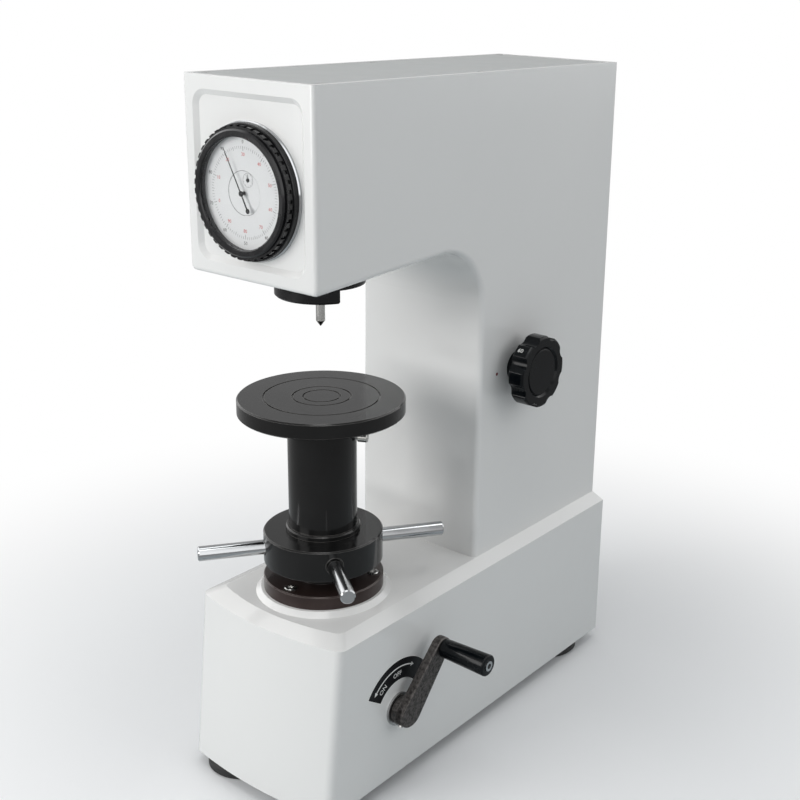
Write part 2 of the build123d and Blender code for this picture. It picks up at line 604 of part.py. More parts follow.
def frame_casting():
    """The housing: one hollow casting with bosses, ribs, seats and every hole in it."""
    body = base_block(0, BASE_EDGE_Z, REAR_Y) + base_roof() + head_and_column() + seat_pad()
    body -= housing_cavity()
    body += upright(0, 0, HUB_SPIGOT_Z - 38, SHOULDER_Z, 42.0)
    body += block(-4, 4, BASE_FRONT_TOP_Y + 6, -38, HUB_SPIGOT_Z - 30, SHOULDER_Z - 8)
    for side in (-1, 1):
        body += block(side * 38, side * (BASE_INNER_X + 2), -4, 4, HUB_SPIGOT_Z - 30, SHOULDER_Z - 12)
    for x, y in foot_places():
        side = 1 if x > 0 else -1
        body += upright(x, y, BASE_BOTTOM_Z, FOOT_POST_TOP_Z, FOOT_POST_RADIUS - 2)
        body += block(x, side * (BASE_INNER_X + 2), y - 12, y + 12, BASE_BOTTOM_Z, FOOT_POST_TOP_Z)
    pad_x = CHEEK_OUTER_X + 9
    pad_rear_y = FULCRUM_BLOCK_REAR_Y + 6
    body += block(-pad_x, pad_x, LEVER_FRONT_Y - 1, pad_rear_y, underside_z(0) + 4, FLOOR_PAD_Z)
    body += crosswise(BASE_INNER_X - 14, BASE_INNER_X + 2, CRANK_Y, CRANK_Z, 22)
    for side in (-1, 1):
        body += crosswise(side * (BASE_INNER_X - 12), side * (BASE_INNER_X + 2), LIFT_Y, CRANK_Z, 16)
    body += crosswise(HEAD_INNER_X - 10, HEAD_INNER_X + 2, SELECTOR_Y, SELECTOR_Z, 14)
    body += block(-HEAD_INNER_X - 2, HEAD_INNER_X + 2, DASHPOT_Y - 20, REAR_Y - 4, 44, DASHPOT_BOTTOM_Z)
    wall_y = COLUMN_WALL_TOP_Y + 2
    body += block(FORK_POST_X - 8, FORK_POST_X + 8, wall_y, FORK_POST_Y + 8, FORK_LUG_Z - 12, FORK_LUG_Z)
    for z in lift_guide_heights():
        body += block(-14, 14, wall_y, LIFT_Y + 12, z - 6, z + 6)
    body -= cover_openings()
    body -= front_panel_recess()
    for z in lift_guide_heights():
        body -= upright(0, LIFT_Y, z - 10, z + 10, LIFT_ROD_RADIUS + 3)
    body -= upright(FORK_POST_X, FORK_POST_Y, FORK_LUG_Z - 12, FORK_LUG_Z + 1, FORK_POST_RADIUS)
    for x, y in fulcrum_screw_places():
        body -= upright(x, y, FLOOR_PAD_Z - 8, FLOOR_PAD_Z + 1, 2.2 + SCREW_PLAY)
    for x, y in guard_screw_places():
        body -= upright(x, y, underside_z(y) - 5, underside_z(y) + 8, 2.0 + SCREW_PLAY)
    body -= lengthwise(0, HEAD_FRONT_Y - 5, HEAD_FRONT_Y + FRONT_WALL + 5, DIAL_Z, CASE_BODY_RADIUS)
    body -= upright(0, 0, underside_z(0) - 20, FLOOR_PAD_Z + 5, GUIDE_RADIUS)
    body -= upright(0, 0, HUB_SPIGOT_Z - 60, PAD_TOP_Z + 5, HUB_SPIGOT_RADIUS + RUNNING_FIT + MOVING_GAP)
    body -= crosswise(BASE_INNER_X - 20, BASE_HALF_WIDTH + 5, CRANK_Y, CRANK_Z, CRANK_BUSH_RADIUS)
    body -= crosswise(-REAR_SHAFT_END_X, REAR_SHAFT_END_X, LIFT_Y, CRANK_Z, REAR_SHAFT_RADIUS + RUNNING_FIT)
    selector_bore = SELECTOR_SHAFT_RADIUS + RUNNING_FIT
    body -= crosswise(HEAD_INNER_X - 15, HEAD_HALF_WIDTH + 5, SELECTOR_Y, SELECTOR_Z, selector_bore)
    for x, y in foot_places():
        body -= upright(x, y, BASE_BOTTOM_Z - 1, FOOT_POST_TOP_Z - 8, FOOT_STUD_RADIUS + SCREW_PLAY)
    for x, y in top_screw_places():
        body -= upright(x, y, TOTAL_HEIGHT - 14, TOTAL_HEIGHT, COVER_SCREW_RADIUS + SCREW_PLAY)
    for x, z in rear_screw_places():
        body -= lengthwise(x, REAR_Y - 12, REAR_Y + 1, z, COVER_SCREW_RADIUS + SCREW_PLAY)
    for angle in flange_screw_angles():
        x, y = polar(FLANGE_SCREW_CIRCLE, angle)
        body -= upright(x, y, PAD_TOP_Z - 14, PAD_TOP_Z + 5, 3.0 + SCREW_PLAY)
    return body


def top_cover():
    """Flat plate that closes the head, let in flush."""
    plate = block(
        -TOP_COVER_HALF_WIDTH + MOVING_GAP,
        TOP_COVER_HALF_WIDTH - MOVING_GAP,
        TOP_COVER_FRONT_Y + MOVING_GAP,
        TOP_COVER_REAR_Y - MOVING_GAP,
        TOTAL_HEIGHT - TOP_COVER_THICKNESS,
        TOTAL_HEIGHT - 0.3,
    )
    plate = fillet(plate.edges().filter_by(Axis.Z), 4)
    for x, y in top_screw_places():
        plate -= upright(x, y, TOTAL_HEIGHT - 10, TOTAL_HEIGHT + 1, COVER_SCREW_RADIUS + SCREW_PLAY)
        plate -= turned(countersink_points(TOTAL_HEIGHT - 0.3, SCREW_PLAY), x, y)
    return plate


def countersink_points(top_z, play):
    """Half profile of a countersunk head, larger by the play."""
    head = COVER_SCREW_HEAD_RADIUS + play
    shank = COVER_SCREW_RADIUS + play
    return [(0, top_z + play), (head, top_z + play), (head, top_z - 0.2), (shank, top_z - 2), (0, top_z - 2)]


def top_cover_screws():
    """Countersunk screws that hold the top cover."""
    screws = []
    for x, y in top_screw_places():
        head = turned(countersink_points(TOTAL_HEIGHT - 0.35, 0), x, y)
        shank = upright(x, y, TOTAL_HEIGHT - 12, TOTAL_HEIGHT - 2, COVER_SCREW_RADIUS)
        slot = block(x - 5, x + 5, y - 0.4, y + 0.4, TOTAL_HEIGHT - 1.0, TOTAL_HEIGHT + 1)
        screws.append(head + shank - slot)
    return screws


def rear_cover():
    """Flat plate that closes the column, let in flush, with a row of cooling slots."""
    plate = block(
        -REAR_COVER_HALF_WIDTH + MOVING_GAP,
        REAR_COVER_HALF_WIDTH - MOVING_GAP,
        REAR_Y - REAR_COVER_THICKNESS,
        REAR_Y,
        REAR_COVER_BOTTOM_Z + MOVING_GAP,
        REAR_COVER_TOP_Z - MOVING_GAP,
    )
    plate = fillet(plate.edges().filter_by(Axis.Y), 4)
    for x, z in rear_screw_places():
        plate -= lengthwise(x, REAR_Y - 5, REAR_Y + 1, z, COVER_SCREW_RADIUS + SCREW_PLAY)
    return plate


def rear_cover_screws():
    """Flat-headed screws that hold the rear cover."""
    screws = []
    for x, z in rear_screw_places():
        head = lengthwise(x, REAR_Y, REAR_Y + COVER_SCREW_HEAD_HEIGHT, z, COVER_SCREW_HEAD_RADIUS)
        shank = lengthwise(x, REAR_Y - 10, REAR_Y + 0.5, z, COVER_SCREW_RADIUS)
        slot = block(x - 5, x + 5, REAR_Y + 0.8, REAR_Y + 5, z - 0.4, z + 0.4)
        screws.append(head + shank - slot)
    return screws


def leveling_feet():
    """Round pads on studs that thread up into the base."""
    feet = []
    for x, y in foot_places():
        pad = turned(
            [
                (0, 0),
                (FOOT_RADIUS - 2, 0),
                (FOOT_RADIUS, 2),
                (FOOT_RADIUS, FOOT_HEIGHT - 4),
                (FOOT_RADIUS - 4, FOOT_HEIGHT),
                (0, FOOT_HEIGHT),
            ],
            x,
            y,
        )
        feet.append(pad + upright(x, y, FOOT_HEIGHT - 1, FOOT_POST_TOP_Z - 10, FOOT_STUD_RADIUS))
    return feet


def dial_seat_ring():
    """Bright ring between the head's face and the gauge."""
    edge = SEAT_RING_RADIUS
    return turned_dial(
        [
            (CASE_BODY_RADIUS, PANEL_Y),
            (edge, PANEL_Y),
            (edge, SEAT_RING_FRONT_Y + 0.8),
            (edge - 0.8, SEAT_RING_FRONT_Y),
            (CASE_BODY_RADIUS, SEAT_RING_FRONT_Y),
        ]
    )


def dial_case():
    """Cup that passes through the head's face; its rim carries the turning bezel."""
    back_y = PANEL_Y + CASE_BODY_DEPTH
    bore = BEZEL_SKIRT_RADIUS + RUNNING_FIT
    cavity = CASE_BODY_RADIUS - 3
    case = turned_dial(
        [
            (0, back_y),
            (CASE_BODY_RADIUS, back_y),
            (CASE_BODY_RADIUS, SEAT_RING_FRONT_Y),
            (CASE_RIM_RADIUS, SEAT_RING_FRONT_Y),
            (CASE_RIM_RADIUS, CASE_RIM_FRONT_Y + 0.6),
            (CASE_RIM_RADIUS - 0.6, CASE_RIM_FRONT_Y),
            (bore, CASE_RIM_FRONT_Y),
            (bore, CASE_RIM_FRONT_Y + BEZEL_SKIRT_DEPTH + STEP_GAP),
            (cavity, CASE_RIM_FRONT_Y + BEZEL_SKIRT_DEPTH + STEP_GAP),
            (cavity, back_y - 3),
            (0, back_y - 3),
        ]
    )
    arbor_boss = lengthwise(0, back_y - 9, back_y - 2, DIAL_Z, 5)
    turns_boss = lengthwise(TURNS_X, back_y - 9, back_y - 2, DIAL_Z + TURNS_Z, 4)
    stem_low = DIAL_Z - CASE_BODY_RADIUS - PLUNGER_STEM_LENGTH
    stem = upright(0, PLUNGER_Y, stem_low, stem_low + 8, 6)
    case = case + arbor_boss + turns_boss + stem
    case -= lengthwise(0, back_y - 10, back_y - 4, DIAL_Z, ARBOR_RADIUS + RUNNING_FIT)
    case -= lengthwise(TURNS_X, back_y - 10, back_y - 4, DIAL_Z + TURNS_Z, ARBOR_RADIUS + RUNNING_FIT)
    case -= upright(0, PLUNGER_Y, DIAL_Z - CASE_BODY_RADIUS - 8, DIAL_Z, PLUNGER_RADIUS + RUNNING_FIT)
    return case


def dial_bezel():
    """Turning ring with a coarsely notched grip, holding the glass and the plate."""
    skirt_inner = BEZEL_SKIRT_RADIUS - 1.1
    skirt_back = CASE_RIM_FRONT_Y + BEZEL_SKIRT_DEPTH
    plate_seat = PLATE_FRONT_Y + PLATE_THICKNESS
    glass_back = GLASS_FRONT_Y + GLASS_THICKNESS
    ring = turned_dial(
        [
            (BEZEL_OPENING_RADIUS, BEZEL_FRONT_Y + 0.8),
            (BEZEL_OPENING_RADIUS + 1.0, BEZEL_FRONT_Y),
            (BEZEL_FRONT_RADIUS - 1.4, BEZEL_FRONT_Y),
            (BEZEL_FRONT_RADIUS, BEZEL_FRONT_Y + 1.2),
            (BEZEL_FRONT_RADIUS, KNURL_FRONT_Y),
            (BEZEL_KNURL_RADIUS, KNURL_FRONT_Y),
            (BEZEL_KNURL_RADIUS, KNURL_BACK_Y),
            (BEZEL_SKIRT_RADIUS, KNURL_BACK_Y),
            (BEZEL_SKIRT_RADIUS, skirt_back),
            (skirt_inner, skirt_back),
            (skirt_inner, PLATE_FRONT_Y),
            (BEZEL_OPENING_RADIUS + 0.6, PLATE_FRONT_Y),
            (BEZEL_OPENING_RADIUS + 0.6, glass_back),
            (BEZEL_OPENING_RADIUS + 1.6, glass_back),
            (BEZEL_OPENING_RADIUS + 1.6, GLASS_FRONT_Y),
            (BEZEL_OPENING_RADIUS, GLASS_FRONT_Y),
        ]
    )
    notch_width = 2 * pi * BEZEL_KNURL_RADIUS / BEZEL_NOTCHES * 0.42
    for i in range(BEZEL_NOTCHES):
        notch = block(
            BEZEL_KNURL_RADIUS - BEZEL_NOTCH_DEPTH,
            BEZEL_KNURL_RADIUS + 2,
            KNURL_FRONT_Y - 1,
            KNURL_BACK_Y - 0.7,
            -notch_width / 2,
            notch_width / 2,
        )
        ring -= Pos(0, 0, DIAL_Z) * Rot(0, 360 / BEZEL_NOTCHES * i, 0) * notch
    return ring


def dial_plate():
    """Graduated disc that turns with the bezel."""
    plate = lengthwise(0, PLATE_FRONT_Y, PLATE_FRONT_Y + PLATE_THICKNESS, DIAL_Z, BEZEL_SKIRT_RADIUS - 1.1)
    plate -= lengthwise(0, PLATE_FRONT_Y - 1, PLATE_FRONT_Y + 2, DIAL_Z, TURNS_Z + TURNS_LENGTH + 2.6)
    return plate


def sub_dial():
    """Fixed inner disc with the turns scale, on a post in the case."""
    radius = TURNS_Z + TURNS_LENGTH + 2.3
    disc = lengthwise(0, PLATE_FRONT_Y + 0.1, PLATE_FRONT_Y + PLATE_THICKNESS, DIAL_Z, radius)
    posts = lengthwise(-10, PLATE_FRONT_Y + 0.5, PANEL_Y + CASE_BODY_DEPTH - 3, DIAL_Z - 6, 1.5)
    posts += lengthwise(10, PLATE_FRONT_Y + 0.5, PANEL_Y + CASE_BODY_DEPTH - 3, DIAL_Z - 6, 1.5)
    disc += posts
    disc -= lengthwise(0, PLATE_FRONT_Y - 1, PLATE_FRONT_Y + 3, DIAL_Z, ARBOR_RADIUS + 0.4)
    disc -= lengthwise(TURNS_X, PLATE_FRONT_Y - 1, PLATE_FRONT_Y + 3, DIAL_Z + TURNS_Z, ARBOR_RADIUS + 0.4)
    return disc


def dial_glass():
    """Flat glass in the bezel."""
    return lengthwise(0, GLASS_FRONT_Y, GLASS_FRONT_Y + GLASS_THICKNESS, DIAL_Z, BEZEL_OPENING_RADIUS + 1.6)


def hand(length, tail, tip_width, tail_width, front_y, thickness):
    """Flat tapering hand that points up, its pivot at the dial's centre."""
    face = make_face(
        Polyline(
            (-tip_width / 2, front_y, length),
            (tip_width / 2, front_y, length),
            (tail_width / 2, front_y, -tail),
            (-tail_width / 2, front_y, -tail),
            close=True,
        )
    )
    return extrude(face, amount=thickness, dir=(0, 1, 0))


def main_pointer():
    """Long hand with a round counterweight, on its arbor and pinion."""
    blade_y = GLASS_FRONT_Y + GLASS_THICKNESS + 0.45
    blade = hand(POINTER_LENGTH, POINTER_TAIL, 0.4, 1.4, blade_y, 0.35)
    back_y = PANEL_Y + CASE_BODY_DEPTH
    blade += lengthwise(0, blade_y, blade_y + 0.35, -POINTER_TAIL + 2, 2.0)
    blade += lengthwise(0, blade_y - 0.1, blade_y + 0.6, 0, 2.2)
    blade += lengthwise(0, blade_y + 0.2, back_y - 4.5, 0, ARBOR_RADIUS)
    blade += lengthwise(0, back_y - 14, back_y - 10, 0, 2.6)
    return Pos(0, 0, DIAL_Z) * Rot(0, -POINTER_REST_DEG, 0) * blade


def turns_pointer():
    """Short hand that counts the long hand's turns."""
    blade_y = PLATE_FRONT_Y - 0.75
    blade = hand(TURNS_LENGTH, 1.8, 0.3, 0.9, blade_y, 0.25)
    back_y = PANEL_Y + CASE_BODY_DEPTH
    blade += lengthwise(0, blade_y, blade_y + 0.25, 0, 1.3)
    blade += lengthwise(0, blade_y + 0.1, back_y - 4.5, 0, ARBOR_RADIUS - 0.3)
    return Pos(TURNS_X, 0, DIAL_Z + TURNS_Z) * blade


def gauge_plunger():
    """Sliding stem under the gauge, with a slim tip that the measuring lever lifts."""
    tip_z = MEASURING_FOOT_Z + 5 + MOVING_GAP
    case_bottom = DIAL_Z - CASE_BODY_RADIUS
    stem = upright(0, PLUNGER_Y, tip_z + 1.5, DIAL_Z - 8, PLUNGER_RADIUS)
    tip = upright(0, PLUNGER_Y, tip_z, case_bottom, 1.0)
    return stem + tip


# ---------------------------------------------------------------- test spindle
def spindle_guide():
    """Flanged sleeve in the head's floor that the test spindle slides in."""
    sleeve = turned(
        [
            (SPINDLE_RADIUS + RUNNING_FIT, underside_z(0) - 13),
            (GUIDE_RADIUS, underside_z(0) - 13),
            (GUIDE_RADIUS, FLOOR_PAD_Z),
            (GUIDE_FLANGE_RADIUS, FLOOR_PAD_Z),
            (GUIDE_FLANGE_RADIUS, FLOOR_PAD_Z + 5),
            (GUIDE_RADIUS, FLOOR_PAD_Z + 5),
            (GUIDE_RADIUS, GUIDE_TOP_Z),
            (SPINDLE_RADIUS + RUNNING_FIT, GUIDE_TOP_Z),
        ]
    )
    return sleeve


def below_underside(shape):
    """Trim a shape to what lies under the head's sloping underside."""
    reach = 2 * GUARD_RADIUS
    keep = side_prism(
        [
            (-reach, underside_z(-reach)),
            (reach, underside_z(reach)),
            (reach, GUARD_SKIRT_Z - 10),
            (-reach, GUARD_SKIRT_Z - 10),
        ],
        -reach,
        reach,
    )
    return shape & keep


def spindle_guard():
    """Black ring under the head with a half-round skirt in front of the spindle's nose."""
    inner = GUIDE_RADIUS + 3
    ring = turned(
        [(inner, GUARD_STEP_Z), (GUARD_RADIUS, GUARD_STEP_Z), (GUARD_RADIUS, GUARD_TOP_Z), (inner, GUARD_TOP_Z)]
    )
    ring = below_underside(ring)
    skirt = turned(
        [
            (GUARD_RADIUS - GUARD_WALL, GUARD_SKIRT_Z),
            (GUARD_RADIUS - 1.5, GUARD_SKIRT_Z),
            (GUARD_RADIUS, GUARD_SKIRT_Z + 1.5),
            (GUARD_RADIUS, GUARD_STEP_Z + 1),
            (GUARD_RADIUS - GUARD_WALL, GUARD_STEP_Z + 1),
        ]
    )
    skirt &= block(-50, 50, -60, GUARD_SKIRT_BACK_Y, GUARD_SKIRT_Z, GUARD_STEP_Z + 2)
    guard = ring + skirt
    for x, y in guard_screw_places():
        guard -= upright(x, y, GUARD_STEP_Z - 1, GUARD_TOP_Z, 2.0 + SCREW_PLAY)
    return guard


def guard_screw_places():
    """Three screws that hold the guard up against the head."""
    return [polar(29.0, angle) for angle in (90, 210, 330)]


def spindle_guard_screws():
    """Round-headed screws under the guard."""
    screws = []
    for x, y in guard_screw_places():
        head = upright(x, y, GUARD_STEP_Z - 2.2, GUARD_STEP_Z, 3.6)
        shank = upright(x, y, GUARD_STEP_Z - 0.5, underside_z(y) + 6, 2.0)
        screws.append(head + shank)
    return screws


def spindle():
    """Stepped test spindle with a stop collar, side pins and a socket for the indenter."""
    body = turned(
        [
            (0, SPINDLE_NOSE_Z),
            (SPINDLE_NOSE_RADIUS - 1, SPINDLE_NOSE_Z),
            (SPINDLE_NOSE_RADIUS, SPINDLE_NOSE_Z + 1),
            (SPINDLE_NOSE_RADIUS, SPINDLE_NOSE_TOP_Z),
            (SPINDLE_RADIUS, SPINDLE_NOSE_TOP_Z),
            (SPINDLE_RADIUS, SPINDLE_COLLAR_Z),
            (SPINDLE_COLLAR_RADIUS, SPINDLE_COLLAR_Z),
            (SPINDLE_COLLAR_RADIUS, SPRING_BOTTOM_Z),
            (SPINDLE_NECK_RADIUS, SPRING_BOTTOM_Z),
            (SPINDLE_NECK_RADIUS, SPINDLE_TIP_FROM_Z),
            (SPINDLE_TIP_RADIUS, SPINDLE_TIP_FROM_Z),
            (SPINDLE_TIP_RADIUS, SPINDLE_TOP_Z - 1),
            (SPINDLE_TIP_RADIUS - 1, SPINDLE_TOP_Z),
            (0, SPINDLE_TOP_Z),
        ]
    )
    pin_end = MEASURING_ARM_X + MEASURING_ARM_WIDTH / 2
    body += crosswise(-pin_end, pin_end, 0, PIN_Z, SPINDLE_PIN_RADIUS)
    body -= upright(0, 0, SPINDLE_NOSE_Z - 1, INDENTER_SHANK_TOP_Z + 0.5, INDENTER_RADIUS + SCREW_PLAY)
    body -= lengthwise(0, -SPINDLE_RADIUS, 0, SPINDLE_NOSE_Z + 8, 2.0 + SCREW_PLAY)
    return body


def indenter():
    """Cone-pointed indenter on a round shank."""
    cone_top = INDENTER_TIP_Z + INDENTER_CONE_HEIGHT
    return turned(
        [
            (0, INDENTER_TIP_Z),
            (0.3, INDENTER_TIP_Z + 0.1),
            (INDENTER_RADIUS - 0.6, cone_top - 0.6),
            (INDENTER_RADIUS, cone_top + 0.4),
            (INDENTER_RADIUS, INDENTER_SHANK_TOP_Z),
            (0, INDENTER_SHANK_TOP_Z),
        ]
    )


def indenter_screw():
    """Set screw that clamps the indenter in the spindle's nose."""
    z = SPINDLE_NOSE_Z + 8
    front = -SPINDLE_NOSE_RADIUS - 2.5
    screw = lengthwise(0, front, -INDENTER_RADIUS - SCREW_PLAY, z, 2.0)
    return screw - block(-3, 3, front - 1, front + 0.9, z - 0.35, z + 0.35)


def spindle_spring():
    """Coil spring that pushes the spindle down from the bridge."""
    low = SPRING_BOTTOM_Z + SPRING_WIRE + 0.05
    height = BRIDGE_BOTTOM_Z - SPRING_WIRE - 0.05 - low
    path = Helix(pitch=height / SPRING_TURNS, height=height, radius=SPRING_RADIUS)
    section = Plane(origin=path @ 0, z_dir=path % 0) * Circle(SPRING_WIRE)
    return Pos(0, 0, low) * sweep(section, path=path)


# ---------------------------------------------------------------- lever work
def knife_points(y, edge_z, up, play):
    """House-shaped knife section: its edge at edge_z, pointing up or down, grown by the play."""
    half = KNIFE_SIZE / 2 + play
    way = 1 if up else -1
    tip = edge_z + way * play
    return [
        (y, tip),
        (y + half, tip - way * half),
        (y + half, edge_z - way * (KNIFE_SIZE + play)),
        (y - half, edge_z - way * (KNIFE_SIZE + play)),
        (y - half, tip - way * half),
    ]


def knife_list():
    """Place, direction and half length of the lever's three knives."""
    return [(FULCRUM_Y, True, 42.0), (0.0, False, LEVER_HALF_WIDTH), (HANGER_Y, True, 22.0)]


def lever_knives():
    """Hardened knife edges let into the main lever."""
    return [side_prism(knife_points(y, LEVER_LINE_Z, up, 0), -half, half) for y, up, half in knife_list()]


def main_lever():
    """Long tapered lever with a pocket for the spindle's tip and slots for its knives."""
    lever = side_prism(
        [
            (LEVER_FRONT_Y, LEVER_LINE_Z - LEVER_DEEP),
            (LEVER_REAR_Y, LEVER_LINE_Z - LEVER_SHALLOW),
            (LEVER_REAR_Y, LEVER_LINE_Z + LEVER_SHALLOW),
            (LEVER_FRONT_Y + LEVER_HUMP_LENGTH, LEVER_LINE_Z + LEVER_DEEP + 4),
            (LEVER_FRONT_Y, LEVER_LINE_Z + LEVER_DEEP),
        ],
        -LEVER_HALF_WIDTH,
        LEVER_HALF_WIDTH,
    )
    waist_y = HANGER_Y - LEVER_WAIST_END
    low = LEVER_LINE_Z - LEVER_WAIST_HALF_HEIGHT
    high = LEVER_LINE_Z + LEVER_WAIST_HALF_HEIGHT
    waist = block(-20, 20, waist_y - LEVER_WAIST_LENGTH, waist_y, low, high)
    for side in (-1, 1):
        lever -= Pos(side * (20 + LEVER_HALF_WIDTH - 4), 0, 0) * waist
    lever -= upright(0, 0, LEVER_LINE_Z - 2 * LEVER_DEEP, LEVER_LINE_Z + 2, SPINDLE_TIP_RADIUS + 3)
    for y, up, half in knife_list():
        lever -= side_prism(knife_points(y, LEVER_LINE_Z, up, 0), -half, half)
    trunnion = LEVER_HALF_WIDTH + 5
    return lever + crosswise(-trunnion, trunnion, DASHPOT_Y, LEVER_LINE_Z, PISTON_ROD_RADIUS)


def fulcrum_block():
    """Two cheeks joined by a bridge; their seats hold the lever's fulcrum knife down."""
    front = LEVER_FRONT_Y
    rear = FULCRUM_BLOCK_REAR_Y
    top_z = LEVER_LINE_Z + 13
    bridge_top_z = BRIDGE_BOTTOM_Z + BRIDGE_THICKNESS
    cheeks = block(-CHEEK_INNER_X, CHEEK_INNER_X, front, rear, BRIDGE_BOTTOM_Z, bridge_top_z)
    for side in (-1, 1):
        cheeks += block(side * CHEEK_INNER_X, side * CHEEK_OUTER_X, front, rear, FLOOR_PAD_Z, top_z)
        foot_x = side * (CHEEK_OUTER_X + 8)
        cheeks += block(side * CHEEK_INNER_X, foot_x, front, rear, FLOOR_PAD_Z, FLOOR_PAD_Z + 6)
    seat = knife_points(FULCRUM_Y, LEVER_LINE_Z, True, STEP_GAP)
    cheeks -= side_prism(seat, -CHEEK_OUTER_X - 1, CHEEK_OUTER_X + 1)
    cheeks -= upright(0, 0, BRIDGE_BOTTOM_Z - 1, LEVER_LINE_Z, SPINDLE_TIP_RADIUS + MOVING_GAP)
    pivot_z = MEASURING_ARM_Z + MEASURING_ARM_HEIGHT / 2
    cheeks -= crosswise(-CHEEK_OUTER_X - 1, CHEEK_OUTER_X + 1, MEASURING_PIVOT_Y, pivot_z, 3)
    for x, y in fulcrum_screw_places():
        cheeks -= upright(x, y, FLOOR_PAD_Z - 1, FLOOR_PAD_Z + 9, 2.2 + SCREW_PLAY)
    return cheeks


def fulcrum_screw_places():
    """Four screws through the fulcrum block's feet."""
    x = CHEEK_OUTER_X + 4.2
    return [(side * x, y) for side in (-1, 1) for y in (LEVER_FRONT_Y + 8, 16)]


def fulcrum_screws():
    """Cap screws that hold the fulcrum block on the head's floor."""
    screws = []
    for x, y in fulcrum_screw_places():
        head = upright(x, y, FLOOR_PAD_Z + 6, FLOOR_PAD_Z + 10, 3.4)
        shank = upright(x, y, FLOOR_PAD_Z - 6, FLOOR_PAD_Z + 7, 2.2)
        screws.append(head + shank)
    return screws


def measuring_lever():
    """Forked lever beside the spindle; its front foot lifts the gauge's plunger."""
    rear = MEASURING_PIVOT_Y + 6
    top_z = MEASURING_ARM_Z + MEASURING_ARM_HEIGHT
    half = MEASURING_ARM_X + MEASURING_ARM_WIDTH / 2
    plate_back = MEASURING_PLATE_Y + 5
    lever = block(-half, half, MEASURING_PLATE_Y, plate_back, MEASURING_FOOT_Z, top_z)
    lever += block(-5, 5, PLUNGER_Y - 4, plate_back, MEASURING_FOOT_Z, MEASURING_FOOT_Z + 5)
    for side in (-1, 1):
        near = side * (MEASURING_ARM_X - MEASURING_ARM_WIDTH / 2)
        lever += block(near, side * half, MEASURING_PLATE_Y, rear, MEASURING_ARM_Z, top_z)
    pivot_z = MEASURING_ARM_Z + MEASURING_ARM_HEIGHT / 2
    lever -= crosswise(-half - 1, half + 1, MEASURING_PIVOT_Y, pivot_z, 3 + RUNNING_FIT)
    return lever


def measuring_pivots():
    """Two stub pins in the cheeks that the measuring lever turns on."""
    pivot_z = MEASURING_ARM_Z + MEASURING_ARM_HEIGHT / 2
    near = MEASURING_ARM_X - MEASURING_ARM_WIDTH / 2 - 1
    return [crosswise(side * near, side * CHEEK_OUTER_X, MEASURING_PIVOT_Y, pivot_z, 3) for side in (-1, 1)]


# ---------------------------------------------------------------- weights in the column
def hanger_stirrup():
    """Stirrup whose seats rest on the lever's rear knife."""
    inner = LEVER_HALF_WIDTH + 2
    outer = inner + 6
    low = LEVER_LINE_Z - 32
    stirrup = block(-outer, outer, HANGER_Y - 10, HANGER_Y + 10, low, low + 9)
    for side in (-1, 1):
        stirrup += block(side * inner, side * outer, HANGER_Y - 10, HANGER_Y + 10, low, LEVER_LINE_Z + 8)
    seat = knife_points(HANGER_Y, LEVER_LINE_Z, True, STEP_GAP)
    stirrup -= side_prism(seat, -outer - 1, outer + 1)
    stirrup -= upright(0, HANGER_Y, low - 1, low + 10, HANGER_ROD_RADIUS)
    return stirrup


def collar_places():
    """Top faces of the rod's collars, one under each weight."""
    return [WEIGHT_STACK_Z, MIDDLE_WEIGHT_Z, BASE_WEIGHT_Z]


def hanger_rod():
    """Rod with a collar under each weight."""
    rod = upright(0, HANGER_Y, WEIGHT_STACK_Z - WEIGHT_COLLAR_HEIGHT, LEVER_LINE_Z - 20, HANGER_ROD_RADIUS)
    for top_z in collar_places():
        rod += upright(0, HANGER_Y, top_z - WEIGHT_COLLAR_HEIGHT, top_z, WEIGHT_COLLAR_RADIUS)
    return rod


def weight(low, height, grooves):
    """Round weight with a centre hole, a well for the next collar and lightening grooves."""
    high = low + height
    edge = WEIGHT_RADIUS
    disc = turned(
        [
            (HANGER_ROD_RADIUS + 0.5, low),
            (edge - 1.5, low),
            (edge, low + 1.5),
            (edge, high - 1.5),
            (edge - 1.5, high),
            (HANGER_ROD_RADIUS + 0.5, high),
        ],
        0,
        HANGER_Y,
    )
    disc -= upright(0, HANGER_Y, high - 3, high + 1, WEIGHT_COLLAR_RADIUS + 1)
    for i in range(grooves):
        z = low + height * (i + 1) / (grooves + 1)
        groove = [(edge - 1, z - 0.8), (edge + 1, z - 0.8), (edge + 1, z + 0.8), (edge - 1, z + 0.8)]
        disc -= turned(groove, 0, HANGER_Y)
    return disc


def lower_weight():
    """Heaviest removable weight."""
    return weight(WEIGHT_STACK_Z, LOWER_WEIGHT_HEIGHT, 3)


def middle_weight():
    """Second removable weight."""
    return weight(MIDDLE_WEIGHT_Z, MIDDLE_WEIGHT_HEIGHT, 2)


def base_weight():
    """Weight that always hangs on the rod."""
    return weight(BASE_WEIGHT_Z, BASE_WEIGHT_HEIGHT, 1)


def dashpot_cylinder():
    """Oil damper's cylinder with a capped top and a foot flange."""
    top_z = DASHPOT_BOTTOM_Z + DASHPOT_HEIGHT
    cup = turned(
        [
            (0, DASHPOT_BOTTOM_Z),
            (DASHPOT_RADIUS, DASHPOT_BOTTOM_Z),
            (DASHPOT_RADIUS, top_z),
            (PISTON_ROD_RADIUS + RUNNING_FIT, top_z),
            (PISTON_ROD_RADIUS + RUNNING_FIT, top_z - 6),
            (DASHPOT_BORE_RADIUS, top_z - 6),
            (DASHPOT_BORE_RADIUS, DASHPOT_BOTTOM_Z + 5),
            (0, DASHPOT_BOTTOM_Z + 5),
        ],
        0,
        DASHPOT_Y,
    )
    valve = crosswise(DASHPOT_RADIUS - 2, DASHPOT_RADIUS + 9, DASHPOT_Y, top_z - 12, 4)
    return cup + valve


